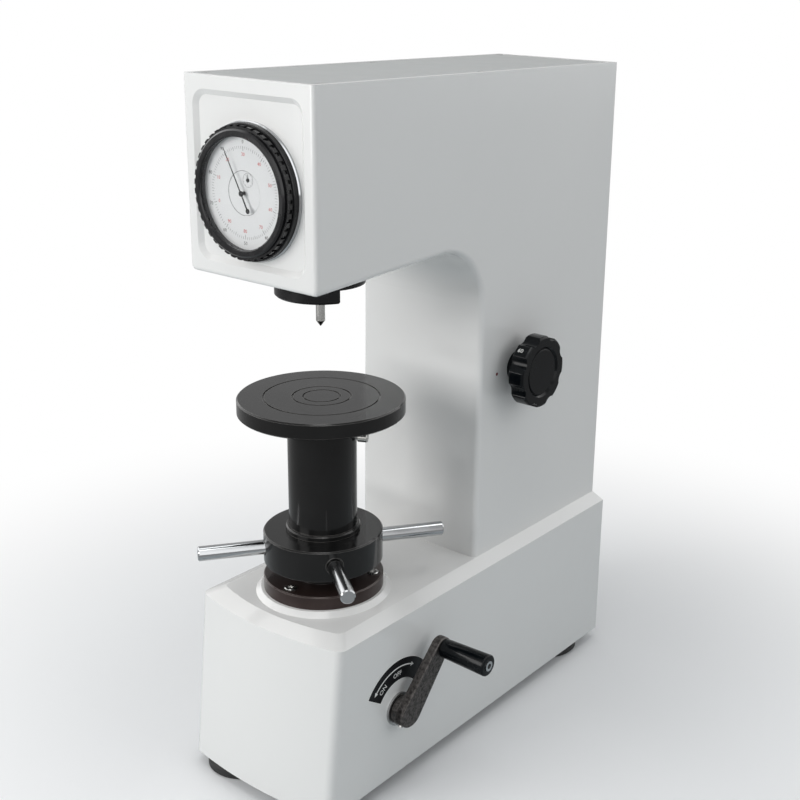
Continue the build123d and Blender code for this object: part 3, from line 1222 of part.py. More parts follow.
def dashpot_piston():
    """Damper piston on a long rod, with a yoke round the lever's rear pin."""
    piston_z = DASHPOT_BOTTOM_Z + DASHPOT_HEIGHT / 2
    inner = LEVER_HALF_WIDTH + MOVING_GAP
    outer = inner + 4
    low = LEVER_LINE_Z - 26
    rod = upright(0, DASHPOT_Y, piston_z, low + 4, PISTON_ROD_RADIUS)
    rod += upright(0, DASHPOT_Y, piston_z, piston_z + PISTON_HEIGHT, DASHPOT_BORE_RADIUS - RUNNING_FIT)
    rod += block(-outer, outer, DASHPOT_Y - 7, DASHPOT_Y + 7, low, low + 7)
    for side in (-1, 1):
        rod += block(side * inner, side * outer, DASHPOT_Y - 7, DASHPOT_Y + 7, low, LEVER_LINE_Z + 8)
    rod -= crosswise(-outer - 1, outer + 1, DASHPOT_Y, LEVER_LINE_Z, PISTON_ROD_RADIUS + STEP_GAP)
    return rod


# ---------------------------------------------------------------- load selector
def involute_cam(start_height, rate, first_deg, last_deg, x0, x1):
    """Sector cam that lifts a flat foot evenly: foot height changes by rate per radian."""
    steps = 24
    points = []
    for i in range(steps + 1):
        angle = radians(first_deg + (last_deg - first_deg) * i / steps)
        height = start_height + rate * (pi / 2 - angle)
        y = height * cos(angle) + rate * sin(angle)
        z = height * sin(angle) - rate * cos(angle)
        points.append((x0, y, z))
    curve = Spline(*points)
    centre = (x0, 0, 0)
    face = make_face([curve, Line(points[-1], centre), Line(centre, points[0])])
    return extrude(face, amount=x1 - x0, dir=(1, 0, 0))


def selector_shaft():
    """Shaft through the column's side, with the cam that raises the fork cut on its inner end."""
    rate = SELECTOR_LIFT / radians(SELECTOR_TRAVEL_DEG)
    x1 = SELECTOR_CAM_X + SELECTOR_CAM_WIDTH
    cam = involute_cam(10.0, rate, 90 - SELECTOR_TRAVEL_DEG - 6, 90 + 6, SELECTOR_CAM_X, x1)
    cam += crosswise(SELECTOR_CAM_X, x1, 0, 0, 9.0)
    cam += crosswise(SELECTOR_CAM_X - 2, KNOB_FACE_X - 8, 0, 0, SELECTOR_SHAFT_RADIUS)
    return Pos(0, SELECTOR_Y, SELECTOR_Z) * cam


def selector_knob():
    """Black knob with eight lobes, a dished face and a neck that stops at the column."""
    grip = turned_across(
        [
            (KNOB_BACK_X, 0),
            (KNOB_BACK_X, KNOB_RADIUS - 1.5),
            (KNOB_BACK_X + 1.5, KNOB_RADIUS),
            (KNOB_FACE_X - 2, KNOB_RADIUS),
            (KNOB_FACE_X - 0.6, KNOB_RADIUS - 0.6),
            (KNOB_FACE_X, KNOB_RADIUS - 2),
            (KNOB_FACE_X, 0),
        ],
        0,
        0,
    )
    scallop_radius = 9.5
    scallop_centre = KNOB_VALLEY_RADIUS + scallop_radius
    for i in range(KNOB_LOBES):
        y, z = polar(scallop_centre, 360 / KNOB_LOBES * (i + 0.5))
        grip -= crosswise(KNOB_BACK_X - 1, KNOB_FACE_X + 1, y, z, scallop_radius)
    grip = fillet(grip.edges().filter_by(Axis.X), 1.6)
    dish = turned_across(
        [
            (KNOB_FACE_X + 1, 0),
            (KNOB_FACE_X + 1, 24.5),
            (KNOB_FACE_X, 24.5),
            (KNOB_FACE_X - 2.2, 22.5),
            (KNOB_FACE_X - 2.2, 15.5),
            (KNOB_FACE_X - 1.0, 13.5),
            (KNOB_FACE_X - 4.0, 0),
        ],
        0,
        0,
    )
    neck = turned_across(
        [
            (HEAD_HALF_WIDTH + MOVING_GAP, 0),
            (HEAD_HALF_WIDTH + MOVING_GAP, KNOB_NECK_RADIUS),
            (KNOB_BACK_X - 2, KNOB_NECK_RADIUS + 1),
            (KNOB_BACK_X + 0.5, KNOB_VALLEY_RADIUS - 3),
            (KNOB_BACK_X + 0.5, 0),
        ],
        0,
        0,
    )
    knob = grip - dish + neck
    knob -= crosswise(HEAD_HALF_WIDTH, KNOB_FACE_X - 8, 0, 0, SELECTOR_SHAFT_RADIUS)
    return Pos(0, SELECTOR_Y, SELECTOR_Z) * knob


def selector_fork():
    """Fork under the weights on a slotted side bar that rides on the selector cam."""
    bar_x0 = SELECTOR_CAM_X + SELECTOR_CAM_WIDTH + 1.5
    bar_x1 = bar_x0 + 5.5
    plate_low = FORK_TOP_Z - 6
    foot_z = SELECTOR_Z + 10 + STEP_GAP
    slot = SELECTOR_SHAFT_RADIUS + 0.8
    fork = block(-46, bar_x1, SELECTOR_Y - 13, HANGER_Y + 44, plate_low, FORK_TOP_Z)
    fork -= block(-13.5, 13.5, HANGER_Y - 13.5, HANGER_Y + 50, plate_low - 1, FORK_TOP_Z + 1)
    fork += block(bar_x0, bar_x1, SELECTOR_Y - 13, SELECTOR_Y + 13, plate_low, foot_z + 10)
    fork += block(SELECTOR_CAM_X, bar_x1, SELECTOR_Y - 8, SELECTOR_Y + 8, foot_z, foot_z + 10)
    fork -= block(
        bar_x0 - 0.01,
        bar_x1 + 1,
        SELECTOR_Y - slot,
        SELECTOR_Y + slot,
        SELECTOR_Z - SELECTOR_LIFT - slot,
        SELECTOR_Z + slot,
    )
    fork -= upright(FORK_POST_X, FORK_POST_Y, plate_low - 1, FORK_TOP_Z + 1, FORK_POST_RADIUS + RUNNING_FIT)
    return fork


def fork_post():
    """Guide post for the fork, standing in a lug of the housing."""
    return upright(FORK_POST_X, FORK_POST_Y, FORK_LUG_Z - 12, FORK_TOP_Z + 40, FORK_POST_RADIUS)


# ---------------------------------------------------------------- loading drive
def crank_bushing():
    """Flanged bush in the base's side."""
    bush = crosswise(BASE_INNER_X - 18, BASE_HALF_WIDTH, CRANK_Y, CRANK_Z, CRANK_BUSH_RADIUS)
    bush += crosswise(
        BASE_HALF_WIDTH, BASE_HALF_WIDTH + CRANK_BUSH_FLANGE, CRANK_Y, CRANK_Z, CRANK_BUSH_FLANGE_RADIUS
    )
    return bush - crosswise(0, BASE_HALF_WIDTH + 5, CRANK_Y, CRANK_Z, CRANK_SHAFT_RADIUS + RUNNING_FIT)


def inner_arm(y, z, shaft_radius):
    """Flat arm with its pin, on a shaft at (y, z)."""
    pin_y, pin_z = polar(INNER_ARM_LENGTH, INNER_ARM_REST_DEG)
    x1 = INNER_ARM_X + INNER_ARM_THICKNESS
    web = Rot(INNER_ARM_REST_DEG, 0, 0) * block(INNER_ARM_X, x1, 0, INNER_ARM_LENGTH, -7.5, 7.5)
    arm = web + crosswise(INNER_ARM_X, x1, 0, 0, shaft_radius + 5)
    arm += crosswise(INNER_ARM_X, x1, pin_y, pin_z, 7.5)
    arm += crosswise(INNER_ARM_X - LINK_THICKNESS - 2.5, INNER_ARM_X + 1, pin_y, pin_z, INNER_PIN_RADIUS)
    return Pos(0, y, z) * arm


def crank_shaft():
    """Loading shaft with its inner arm and pin."""
    shaft = crosswise(INNER_ARM_X, CRANK_ARM_FRONT_X - 1.5, CRANK_Y, CRANK_Z, CRANK_SHAFT_RADIUS)
    return shaft + inner_arm(CRANK_Y, CRANK_Z, CRANK_SHAFT_RADIUS)


def rear_shaft():
    """Shaft across the base with an arm that the link turns."""
    end = REAR_SHAFT_END_X - 0.5
    shaft = crosswise(-end, end, LIFT_Y, CRANK_Z, REAR_SHAFT_RADIUS)
    return shaft + inner_arm(LIFT_Y, CRANK_Z, REAR_SHAFT_RADIUS)


def link_rod():
    """Flat link between the two inner pins; the rear hole is the larger."""
    pin_y, pin_z = polar(INNER_ARM_LENGTH, INNER_ARM_REST_DEG)
    x1 = INNER_ARM_X - 1
    x0 = x1 - LINK_THICKNESS
    z = CRANK_Z + pin_z
    front_y = CRANK_Y + pin_y
    rear_y = LIFT_Y + pin_y
    link = block(x0, x1, front_y, rear_y, z - LINK_HALF_HEIGHT + 3, z + LINK_HALF_HEIGHT - 3)
    link += crosswise(x0, x1, front_y, z, LINK_HALF_HEIGHT)
    link += crosswise(x0, x1, rear_y, z, LINK_HALF_HEIGHT)
    link -= crosswise(x0 - 1, x1 + 1, front_y, z, INNER_PIN_RADIUS + RUNNING_FIT)
    return link - crosswise(x0 - 1, x1 + 1, rear_y, z, INNER_PIN_RADIUS + STEP_GAP)


def lift_cam():
    """Cam on the rear shaft that lets the lift rod down evenly."""
    rate = -LIFT_DROP / radians(CRANK_TRAVEL_DEG)
    x1 = LIFT_CAM_WIDTH / 2
    cam = involute_cam(LIFT_CAM_HEIGHT, rate, 90 - CRANK_TRAVEL_DEG - 12, 90 + 12, -x1, x1)
    cam += crosswise(-x1 - 3, x1 + 3, 0, 0, 15.0)
    cam -= crosswise(-x1 - 5, x1 + 5, 0, 0, REAR_SHAFT_RADIUS)
    return Pos(0, LIFT_Y, CRANK_Z) * cam


def lever_underside_z(y):
    """Height of the main lever's underside."""
    share = (y - LEVER_FRONT_Y) / (LEVER_REAR_Y - LEVER_FRONT_Y)
    return LEVER_LINE_Z - LEVER_DEEP + share * (LEVER_DEEP - LEVER_SHALLOW)


def lift_rod():
    """Upright rod with a flat foot on the cam; its top holds the lever up."""
    top_z = lever_underside_z(LIFT_Y - LIFT_ROD_RADIUS) - STEP_GAP
    rod = upright(0, LIFT_Y, LIFT_FOOT_Z, top_z, LIFT_ROD_RADIUS)
    return rod + upright(0, LIFT_Y, LIFT_FOOT_Z, LIFT_FOOT_Z + 6, 10)


def lift_guide_heights():
    """Middle heights of the two guides."""
    return [SHOULDER_Z + LIFT_GUIDE_ABOVE_SHOULDER, LEVER_LINE_Z - LIFT_GUIDE_BELOW_LEVER]


def lift_guides():
    """Two bushes that guide the lift rod."""
    guides = []
    for z in lift_guide_heights():
        bush = upright(0, LIFT_Y, z - 8, z + 8, LIFT_ROD_RADIUS + 3)
        guides.append(bush - upright(0, LIFT_Y, z - 9, z + 9, LIFT_ROD_RADIUS + RUNNING_FIT))
    return guides


def crank_arm():
    """Cast arm that leans outward and tapers toward the grip."""
    tip_y, tip_z = polar(CRANK_ARM_LENGTH, CRANK_ARM_REST_DEG)
    hub_x = (CRANK_ARM_BACK_X + CRANK_ARM_FRONT_X) / 2
    tip_x = CRANK_ARM_FRONT_X + CRANK_ARM_LEAN - CRANK_ARM_THICKNESS / 2
    along = (0, cos(radians(CRANK_ARM_REST_DEG)), sin(radians(CRANK_ARM_REST_DEG)))
    near = Plane(origin=(hub_x, 0, 0), x_dir=(1, 0, 0), z_dir=along) * RectangleRounded(
        CRANK_ARM_THICKNESS, 2 * CRANK_HUB_RADIUS - 4, 3
    )
    far = Plane(origin=(tip_x, tip_y, tip_z), x_dir=(1, 0, 0), z_dir=along) * RectangleRounded(
        CRANK_ARM_THICKNESS - 1, 2 * CRANK_TIP_RADIUS - 4, 3
    )
    arm = loft([near.faces()[0], far.faces()[0]])
    hub = crosswise(CRANK_ARM_BACK_X, CRANK_ARM_FRONT_X, 0, 0, CRANK_HUB_RADIUS)
    hub = fillet(hub.edges().filter_by(GeomType.CIRCLE), 2)
    half = CRANK_ARM_THICKNESS / 2
    tip = crosswise(tip_x - half, tip_x + half, tip_y, tip_z, CRANK_TIP_RADIUS)
    tip = fillet(tip.edges().filter_by(GeomType.CIRCLE), 1.5)
    arm = arm + hub + tip
    arm -= crosswise(CRANK_ARM_BACK_X - 1, CRANK_ARM_FRONT_X + 1, 0, 0, CRANK_SHAFT_RADIUS)
    arm -= crosswise(tip_x - CRANK_ARM_THICKNESS, tip_x + CRANK_ARM_THICKNESS, tip_y, tip_z, GRIP_PIN_RADIUS)
    arm = Pos(0, CRANK_Y, CRANK_Z) * arm
    for x, y, z in crank_screw_places():
        arm -= Pos(x, y, z) * crank_screw(SCREW_PLAY)
    return arm


def crank_screw_places():
    """Set screw on the crank hub's lower side."""
    return [((CRANK_ARM_BACK_X + CRANK_ARM_FRONT_X) / 2, CRANK_Y, CRANK_Z)]


def crank_screw(play):
    """Set screw along the hub's radius, pointing up at the shaft."""
    inner = CRANK_SHAFT_RADIUS
    outer = CRANK_HUB_RADIUS + 1.2 + play
    return Rot(CRANK_ARM_REST_DEG + 180, 0, 0) * lengthwise(0, inner, outer, 0, 2.5 + play)


def crank_screws():
    """Set screw that holds the crank on its shaft."""
    x, y, z = crank_screw_places()[0]
    return Pos(x, y, z) * crank_screw(0)


def crank_tip():
    """Machine-frame position of the grip's axis."""
    tip_y, tip_z = polar(CRANK_ARM_LENGTH, CRANK_ARM_REST_DEG)
    return CRANK_Y + tip_y, CRANK_Z + tip_z


def crank_grip():
    """Barrel-shaped grip that turns on its pin."""
    y, z = crank_tip()
    back = CRANK_ARM_FRONT_X + CRANK_ARM_LEAN + STEP_GAP
    front = GRIP_END_X - 0.9
    length = front - back
    bore = GRIP_PIN_RADIUS + RUNNING_FIT
    recess = GRIP_RIVET_RADIUS + STEP_GAP
    side = Spline(
        (back + 2.5, 0, GRIP_RADIUS - 0.4),
        (back + length * 0.45, 0, GRIP_BELLY_RADIUS),
        (front - 1.5, 0, GRIP_RADIUS),
    )
    rest = Polyline(
        (front - 1.5, 0, GRIP_RADIUS),
        (front, 0, GRIP_RADIUS - 1.5),
        (front, 0, recess),
        (front - 2.2, 0, recess),
        (front - 2.2, 0, bore),
        (back, 0, bore),
        (back, 0, GRIP_RADIUS - 2.2),
        (back + 2.5, 0, GRIP_RADIUS - 0.4),
    )
    return Pos(0, y, z) * revolve(make_face([side, rest]), axis=Axis.X)


def grip_pin():
    """Rivet through the grip with a cupped bright head."""
    y, z = crank_tip()
    arm_back = CRANK_ARM_FRONT_X + CRANK_ARM_LEAN - CRANK_ARM_THICKNESS
    pin = crosswise(arm_back, GRIP_END_X - 1, y, z, GRIP_PIN_RADIUS)
    pin += crosswise(GRIP_END_X - 2.7, GRIP_END_X, y, z, GRIP_RIVET_RADIUS)
    return pin - crosswise(GRIP_END_X - 2, GRIP_END_X + 1, y, z, 2.4)


# ---------------------------------------------------------------- elevating screw and table
def flange_screw_angles():
    """Three screws round the flange."""
    return [FLANGE_SCREW_FIRST_DEG + 120 * i for i in range(3)]


def screw_flange():
    """Round bearing flange on the base, with wells for its screws."""
    edge = FLANGE_RADIUS
    flange = turned(
        [
            (HUB_SPIGOT_RADIUS + RUNNING_FIT, PAD_TOP_Z),
            (edge, PAD_TOP_Z),
            (edge, FLANGE_TOP_Z - 1),
            (edge - 1, FLANGE_TOP_Z),
            (HUB_SPIGOT_RADIUS + RUNNING_FIT, FLANGE_TOP_Z),
        ]
    )
    for angle in flange_screw_angles():
        x, y = polar(FLANGE_SCREW_CIRCLE, angle)
        flange -= upright(x, y, FLANGE_TOP_Z - 3.5, FLANGE_TOP_Z + 1, 6.0)
        flange -= upright(x, y, PAD_TOP_Z - 1, FLANGE_TOP_Z, 3.0 + SCREW_PLAY)
    return flange


def flange_screws():
    """Socket-head screws in the flange's wells."""
    screws = []
    for angle in flange_screw_angles():
        x, y = polar(FLANGE_SCREW_CIRCLE, angle)
        head = upright(x, y, FLANGE_TOP_Z - 3.5, FLANGE_TOP_Z + 1.2, 5.0)
        head = chamfer(head.edges().group_by(Axis.Z)[-1], 0.6)
        shank = upright(x, y, PAD_TOP_Z - 12, FLANGE_TOP_Z - 3, 3.0)
        socket = Pos(x, y, FLANGE_TOP_Z) * extrude(RegularPolygon(2.6, 6), amount=3)
        screws.append(head + shank - socket)
    return screws


def thrust_ring():
    """Bearing ring between the flange and the capstan."""
    inner = HUB_SPIGOT_RADIUS + MOVING_GAP
    outer = THRUST_RADIUS
    middle = (FLANGE_TOP_Z + HUB_BOTTOM_Z) / 2
    return turned(
        [
            (inner, FLANGE_TOP_Z),
            (outer, FLANGE_TOP_Z),
            (outer, middle - 2),
            (outer - 1.5, middle - 2),
            (outer - 1.5, middle + 2),
            (outer, middle + 2),
            (outer, HUB_BOTTOM_Z - STEP_GAP),
            (inner, HUB_BOTTOM_Z - STEP_GAP),
        ]
    )


def screw_key_bush():
    """Bush in the base whose inner key stops the elevating screw turning."""
    high = HUB_SPIGOT_Z - 4
    low = HUB_SPIGOT_Z - 38
    bush = upright(0, 0, low, high, HUB_SPIGOT_RADIUS + RUNNING_FIT + MOVING_GAP)
    bush -= upright(0, 0, low - 1, high + 1, SCREW_RADIUS + RUNNING_FIT)
    key_half = SCREW_KEYWAY_WIDTH / 2 - 0.1
    key_inner = SCREW_RADIUS - SCREW_KEYWAY_DEPTH + 0.3
    return bush + block(-key_half, key_half, key_inner, SCREW_RADIUS + 2, low, high)


def capstan_hub():
    """Nut that raises the screw: broad hub, spigot in the flange and bored seats for its bars."""
    edge = HUB_RADIUS
    hub = turned(
        [
            (SCREW_RADIUS + RUNNING_FIT, HUB_SPIGOT_Z),
            (HUB_SPIGOT_RADIUS, HUB_SPIGOT_Z),
            (HUB_SPIGOT_RADIUS, HUB_BOTTOM_Z),
            (edge - 1, HUB_BOTTOM_Z),
            (edge, HUB_BOTTOM_Z + 1),
            (edge, HUB_TOP_Z - 1.2),
            (edge - 1.2, HUB_TOP_Z),
            (SCREW_RADIUS + RUNNING_FIT, HUB_TOP_Z),
        ]
    )
    for i in range(ROD_COUNT):
        turn = Rot(0, 0, ROD_FIRST_DEG + 90 * i)
        hub -= turn * crosswise(ROD_ROOT, HUB_RADIUS + 5, 0, ROD_Z, ROD_RADIUS)
        hub -= turn * crosswise(HUB_RADIUS - 2, HUB_RADIUS + 5, 0, ROD_Z, ROD_RADIUS + 1.2)
    return hub


def capstan_rods():
    """Four bright bars, a quarter turn apart."""
    rods = []
    for i in range(ROD_COUNT):
        rod = crosswise(ROD_ROOT, ROD_REACH, 0, ROD_Z, ROD_RADIUS)
        rod = chamfer(rod.edges().filter_by(GeomType.CIRCLE).sort_by(Axis.X)[-1], ROD_CHAMFER)
        rods.append(Rot(0, 0, ROD_FIRST_DEG + 90 * i) * rod)
    return rods


def elevating_screw():
    """Screw core with a long keyway behind and a socket for the table."""
    screw = upright(0, 0, SCREW_BOTTOM_Z, TABLE_BOTTOM_Z, SCREW_RADIUS)
    screw = chamfer(screw.edges().group_by(Axis.Z)[0], 2)
    half = SCREW_KEYWAY_WIDTH / 2
    inner = SCREW_RADIUS - SCREW_KEYWAY_DEPTH
    keyway_top_z = TABLE_BOTTOM_Z - TABLE_STEM_LENGTH - 10
    screw -= block(-half, half, inner, SCREW_RADIUS + 5, SCREW_BOTTOM_Z - 1, keyway_top_z)
    screw -= upright(
        0, 0, TABLE_BOTTOM_Z - TABLE_STEM_LENGTH - 1, TABLE_BOTTOM_Z + 1, TABLE_STEM_RADIUS + RUNNING_FIT
    )
    return screw


def guard_tube():
    """Tube that covers the screw between the table and the capstan, with a foot ring."""
    low = HUB_TOP_Z + MOVING_GAP
    inner = TUBE_RADIUS - TUBE_WALL
    tube = turned(
        [
            (inner, low),
            (TUBE_RING_RADIUS, low),
            (TUBE_RING_RADIUS, low + TUBE_RING_HEIGHT - 1),
            (TUBE_RING_RADIUS - 1, low + TUBE_RING_HEIGHT),
            (TUBE_RADIUS, low + TUBE_RING_HEIGHT),
            (TUBE_RADIUS, TABLE_BOTTOM_Z),
            (inner, TABLE_BOTTOM_Z),
        ]
    )
    return tube - Rot(0, 0, TUBE_SCREW_DEG) * crosswise(20, 40, 0, TUBE_SCREW_Z, 2.5 + SCREW_PLAY)


def tube_screw():
    """Thumb screw that clamps the guard tube to the elevating screw."""
    head_from = TUBE_RADIUS + 2
    screw = crosswise(SCREW_RADIUS, head_from + 1, 0, TUBE_SCREW_Z, 2.5)
    head = crosswise(head_from, TUBE_SCREW_REACH, 0, TUBE_SCREW_Z, 4.5)
    head = chamfer(head.edges().filter_by(GeomType.CIRCLE), 0.6)
    return Rot(0, 0, TUBE_SCREW_DEG) * (screw + head)


def test_table():
    """Round grooved test table with a centring boss and a stem."""
    edge = TABLE_RADIUS
    boss_inner = SCREW_RADIUS + 0.3
    boss_outer = TUBE_RADIUS - TUBE_WALL - SCREW_PLAY
    boss_z = TABLE_BOTTOM_Z - 6
    table = turned(
        [
            (0, TABLE_TOP_Z),
            (edge - 1.2, TABLE_TOP_Z),
            (edge, TABLE_TOP_Z - 1.2),
            (edge, TABLE_BOTTOM_Z + 1),
            (edge - 1, TABLE_BOTTOM_Z),
            (boss_outer, TABLE_BOTTOM_Z),
            (boss_outer, boss_z),
            (boss_inner, boss_z),
            (boss_inner, TABLE_BOTTOM_Z),
            (TABLE_STEM_RADIUS, TABLE_BOTTOM_Z),
            (TABLE_STEM_RADIUS, TABLE_BOTTOM_Z - TABLE_STEM_LENGTH),
            (0, TABLE_BOTTOM_Z - TABLE_STEM_LENGTH),
        ]
    )
    for radius in TABLE_GROOVE_RADII:
        low = TABLE_TOP_Z - TABLE_GROOVE_DEPTH
        half = TABLE_GROOVE_WIDTH / 2
        high = TABLE_TOP_Z + 1
        section = [(radius - half, low), (radius + half, low), (radius + half, high), (radius - half, high)]
        table -= turned(section)
    return table


# ---------------------------------------------------------------- writing the parts
def write(name, shape):
    """Move a part to the row frame and write it; a list becomes one file of separate solids."""
    solids = shape if isinstance(shape, list) else [shape]
    moved = [Pos(-ROW_X, -ROW_Y, 0) * solid for solid in solids]
    export_step(Compound(children=moved) if len(moved) > 1 else moved[0], f"parts/{name}.step")


os.makedirs("parts", exist_ok=True)
for make in (
    frame_casting,
    top_cover,
    top_cover_screws,
    rear_cover,
    rear_cover_screws,
    leveling_feet,
    dial_seat_ring,
    dial_case,
    dial_bezel,
    dial_plate,
    sub_dial,
    dial_glass,
    main_pointer,
    turns_pointer,
    gauge_plunger,
    spindle_guide,
    spindle_guard,
    spindle_guard_screws,
    spindle,
    indenter,
    indenter_screw,
    spindle_spring,
    lever_knives,
    main_lever,
    fulcrum_block,
    fulcrum_screws,
    measuring_lever,
    measuring_pivots,
    hanger_stirrup,
    hanger_rod,
    base_weight,
    middle_weight,
    lower_weight,
    dashpot_cylinder,
    dashpot_piston,
    selector_shaft,
    selector_knob,
    selector_fork,
    fork_post,
    crank_bushing,
    crank_shaft,
    rear_shaft,
    link_rod,
    lift_cam,
    lift_rod,
    lift_guides,
    crank_arm,
    crank_screws,
    crank_grip,
    grip_pin,
    screw_flange,
    flange_screws,
    thrust_ring,
    screw_key_bush,
    capstan_hub,
    capstan_rods,
    elevating_screw,
    guard_tube,
    tube_screw,
    test_table,
):
    write(make.__name__, make())
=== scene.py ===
# %% [markdown]
# # A bench-top hardness tester
#
# This machine presses a hard point into a metal sample and reads how deep it went.
# It is a tall hollow casting shaped like the letter C.  A round table on a big screw
# carries the sample, a spindle in the head carries the point, and a dial on the front
# of the head shows the depth.  The solid model of every part is already packed, with
# the joints that move it, so this lesson dresses those parts: it gives each one its
# real finish, and models the things that a solid model leaves out, such as printed
# scales, a screw's thread and the softened form of a rough casting.

# %% Load the solid model as a fixed frame
from math import asin, cos, pi, radians, sin

import bmesh
import bpy
from mathutils import Euler, Matrix, Vector


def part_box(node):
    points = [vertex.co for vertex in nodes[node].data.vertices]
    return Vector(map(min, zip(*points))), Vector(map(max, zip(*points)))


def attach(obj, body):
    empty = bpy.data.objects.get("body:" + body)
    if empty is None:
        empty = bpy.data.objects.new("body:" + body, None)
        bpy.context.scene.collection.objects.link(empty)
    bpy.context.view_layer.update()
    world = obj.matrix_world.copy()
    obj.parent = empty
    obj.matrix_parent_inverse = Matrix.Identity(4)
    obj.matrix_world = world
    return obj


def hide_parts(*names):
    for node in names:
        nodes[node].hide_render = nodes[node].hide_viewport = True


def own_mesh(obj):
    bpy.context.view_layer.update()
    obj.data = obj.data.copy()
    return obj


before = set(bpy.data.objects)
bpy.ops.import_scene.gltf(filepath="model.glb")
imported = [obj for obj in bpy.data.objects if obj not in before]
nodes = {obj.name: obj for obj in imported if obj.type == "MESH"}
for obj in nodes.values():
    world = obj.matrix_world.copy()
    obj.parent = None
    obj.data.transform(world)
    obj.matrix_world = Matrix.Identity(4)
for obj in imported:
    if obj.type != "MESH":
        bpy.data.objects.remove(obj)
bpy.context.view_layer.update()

print("parts in the frame:", len(nodes))

# %% [markdown]
# The machine's own centre line runs up through the table, the screw and the pressing
# point.  Drawings of such a machine are measured from that line, in millimetres, with
# the bench as height zero.  The frame's origin is somewhere else, at the middle of the
# whole outline, so one small function turns drawing places into frame places.

# %% A ruler: millimetres from the test axis to metres in the frame
point_low, point_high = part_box("indenter")
axis_x = (point_low.x + point_high.x) / 2
axis_y = (point_low.y + point_high.y) / 2


def place(x, y, z):
    """A drawing place in millimetres from the test axis and the bench, in frame metres."""
    return Vector((axis_x + x / 1000, axis_y + y / 1000, z / 1000))


def mm(value):
    """Millimetres to metres."""
    return value / 1000


print("test axis at", round(axis_x, 4), round(axis_y, 4))

# %% [markdown]
# The camera stands to the right of the machine and a little above its head, about
# 1.2 m away, and looks down at it.  It is leaned over by a degree and a half, as a
# camera held in the hand is, and its sensor is shifted so that the machine fills the
# frame without turning the view.

# %% Camera
CAMERA_PLACE = (717.5, -746.6, 711.1)
CAMERA_TILT, CAMERA_HEADING, CAMERA_LEAN = radians(72.352), radians(36.272), radians(1.555)

camera_data = bpy.data.cameras.new("view_camera")
camera = bpy.data.objects.new("view_camera", camera_data)
bpy.context.scene.collection.objects.link(camera)
bpy.context.scene.camera = camera
camera_data.sensor_width = 36.0
camera_data.lens = 56.33
camera_data.shift_x = -0.1001
camera_data.shift_y = -0.0375
camera_data.clip_end = 20.0
heading = Euler((CAMERA_TILT, 0, CAMERA_HEADING)).to_matrix()
lean = Matrix.Rotation(CAMERA_LEAN, 3, "Z")
camera.matrix_world = Matrix.Translation(place(*CAMERA_PLACE)) @ (heading @ lean).to_4x4()
print("camera stands at", [round(v, 3) for v in camera.matrix_world.translation])

# %% [markdown]
# Rooms and finishes are both made of nodes.  Three small functions keep them short to
# write: one joins or sets an input, one does a step of arithmetic, and one carries a
# value from one range over to another.

# %% Helpers for nodes
def feed(tree, slot, value):
    """Gives an input a plain value, or joins it to another node's output."""
    if isinstance(value, bpy.types.NodeSocket):
        tree.links.new(value, slot)
    else:
        slot.default_value = value


def calculate(tree, operation, *values):
    """One step of arithmetic on sockets or numbers."""
    node = tree.nodes.new("ShaderNodeMath")
    node.operation = operation
    for slot, value in zip(node.inputs, values):
        feed(tree, slot, value)
    return node.outputs["Value"]


def ramp(tree, value, low, high, start=0.0, end=1.0, smooth=False):
    """Carries a value from the range start to end over to the range low to high."""
    node = tree.nodes.new("ShaderNodeMapRange")
    node.interpolation_type = "SMOOTHSTEP" if smooth else "LINEAR"
    given = {"Value": value, "From Min": start, "From Max": end, "To Min": low, "To Max": high}
    for label, content in given.items():
        feed(tree, node.inputs[label], content)
    return node.outputs["Result"]


def any_of(tree, *switches):
    """One switch that is on where any of the given switches is on."""
    result = switches[0]
    for switch in switches[1:]:
        result = calculate(tree, "MAXIMUM", result, switch)
    return result


def mix_shaders(tree, switch, off, on, target):
    """Sends one of two shaders to the target, as the switch says."""
    mix = tree.nodes.new("ShaderNodeMixShader")
    feed(tree, mix.inputs["Fac"], switch)
    feed(tree, mix.inputs[1], off)
    feed(tree, mix.inputs[2], on)
    feed(tree, target, mix.outputs["Shader"])


# %% [markdown]
# Gloss paint and polished steel mostly show what is around them.  A soft studio has a
# few large lamps and a pale room, so the paint gets broad, gentle highlights.  In a
# room that is white all round, black paint would turn grey and chrome would go blank.
# So rays that come off a shiny surface see three broad windows, with dimmer wall
# between them.  The camera sees plain white behind the machine.

# %% Room
WINDOWS = 3
WINDOW_PHASE = -2.0  # radians; it turns the row of windows round the room
WINDOW_EDGE = (-0.2, 0.7)  # part of the wave over which wall becomes window
WALL_SHINE, WINDOW_SHINE = 0.55, 2.0
ROOM_STRENGTH = 0.50

scene = bpy.context.scene
scene.view_settings.view_transform = "Standard"

world = bpy.data.worlds.new("studio_room")
scene.world = world
world.use_nodes = True
room = world.node_tree
room.nodes.clear()
room_out = room.nodes.new("ShaderNodeOutputWorld")
room_light = room.nodes.new("ShaderNodeBackground")
room_light.inputs["Color"].default_value = (0.90, 0.91, 0.92, 1)
room_light.inputs["Strength"].default_value = ROOM_STRENGTH
room_seen = room.nodes.new("ShaderNodeBackground")
room_seen.inputs["Color"].default_value = (1, 1, 1, 1)
room_path = room.nodes.new("ShaderNodeLightPath").outputs

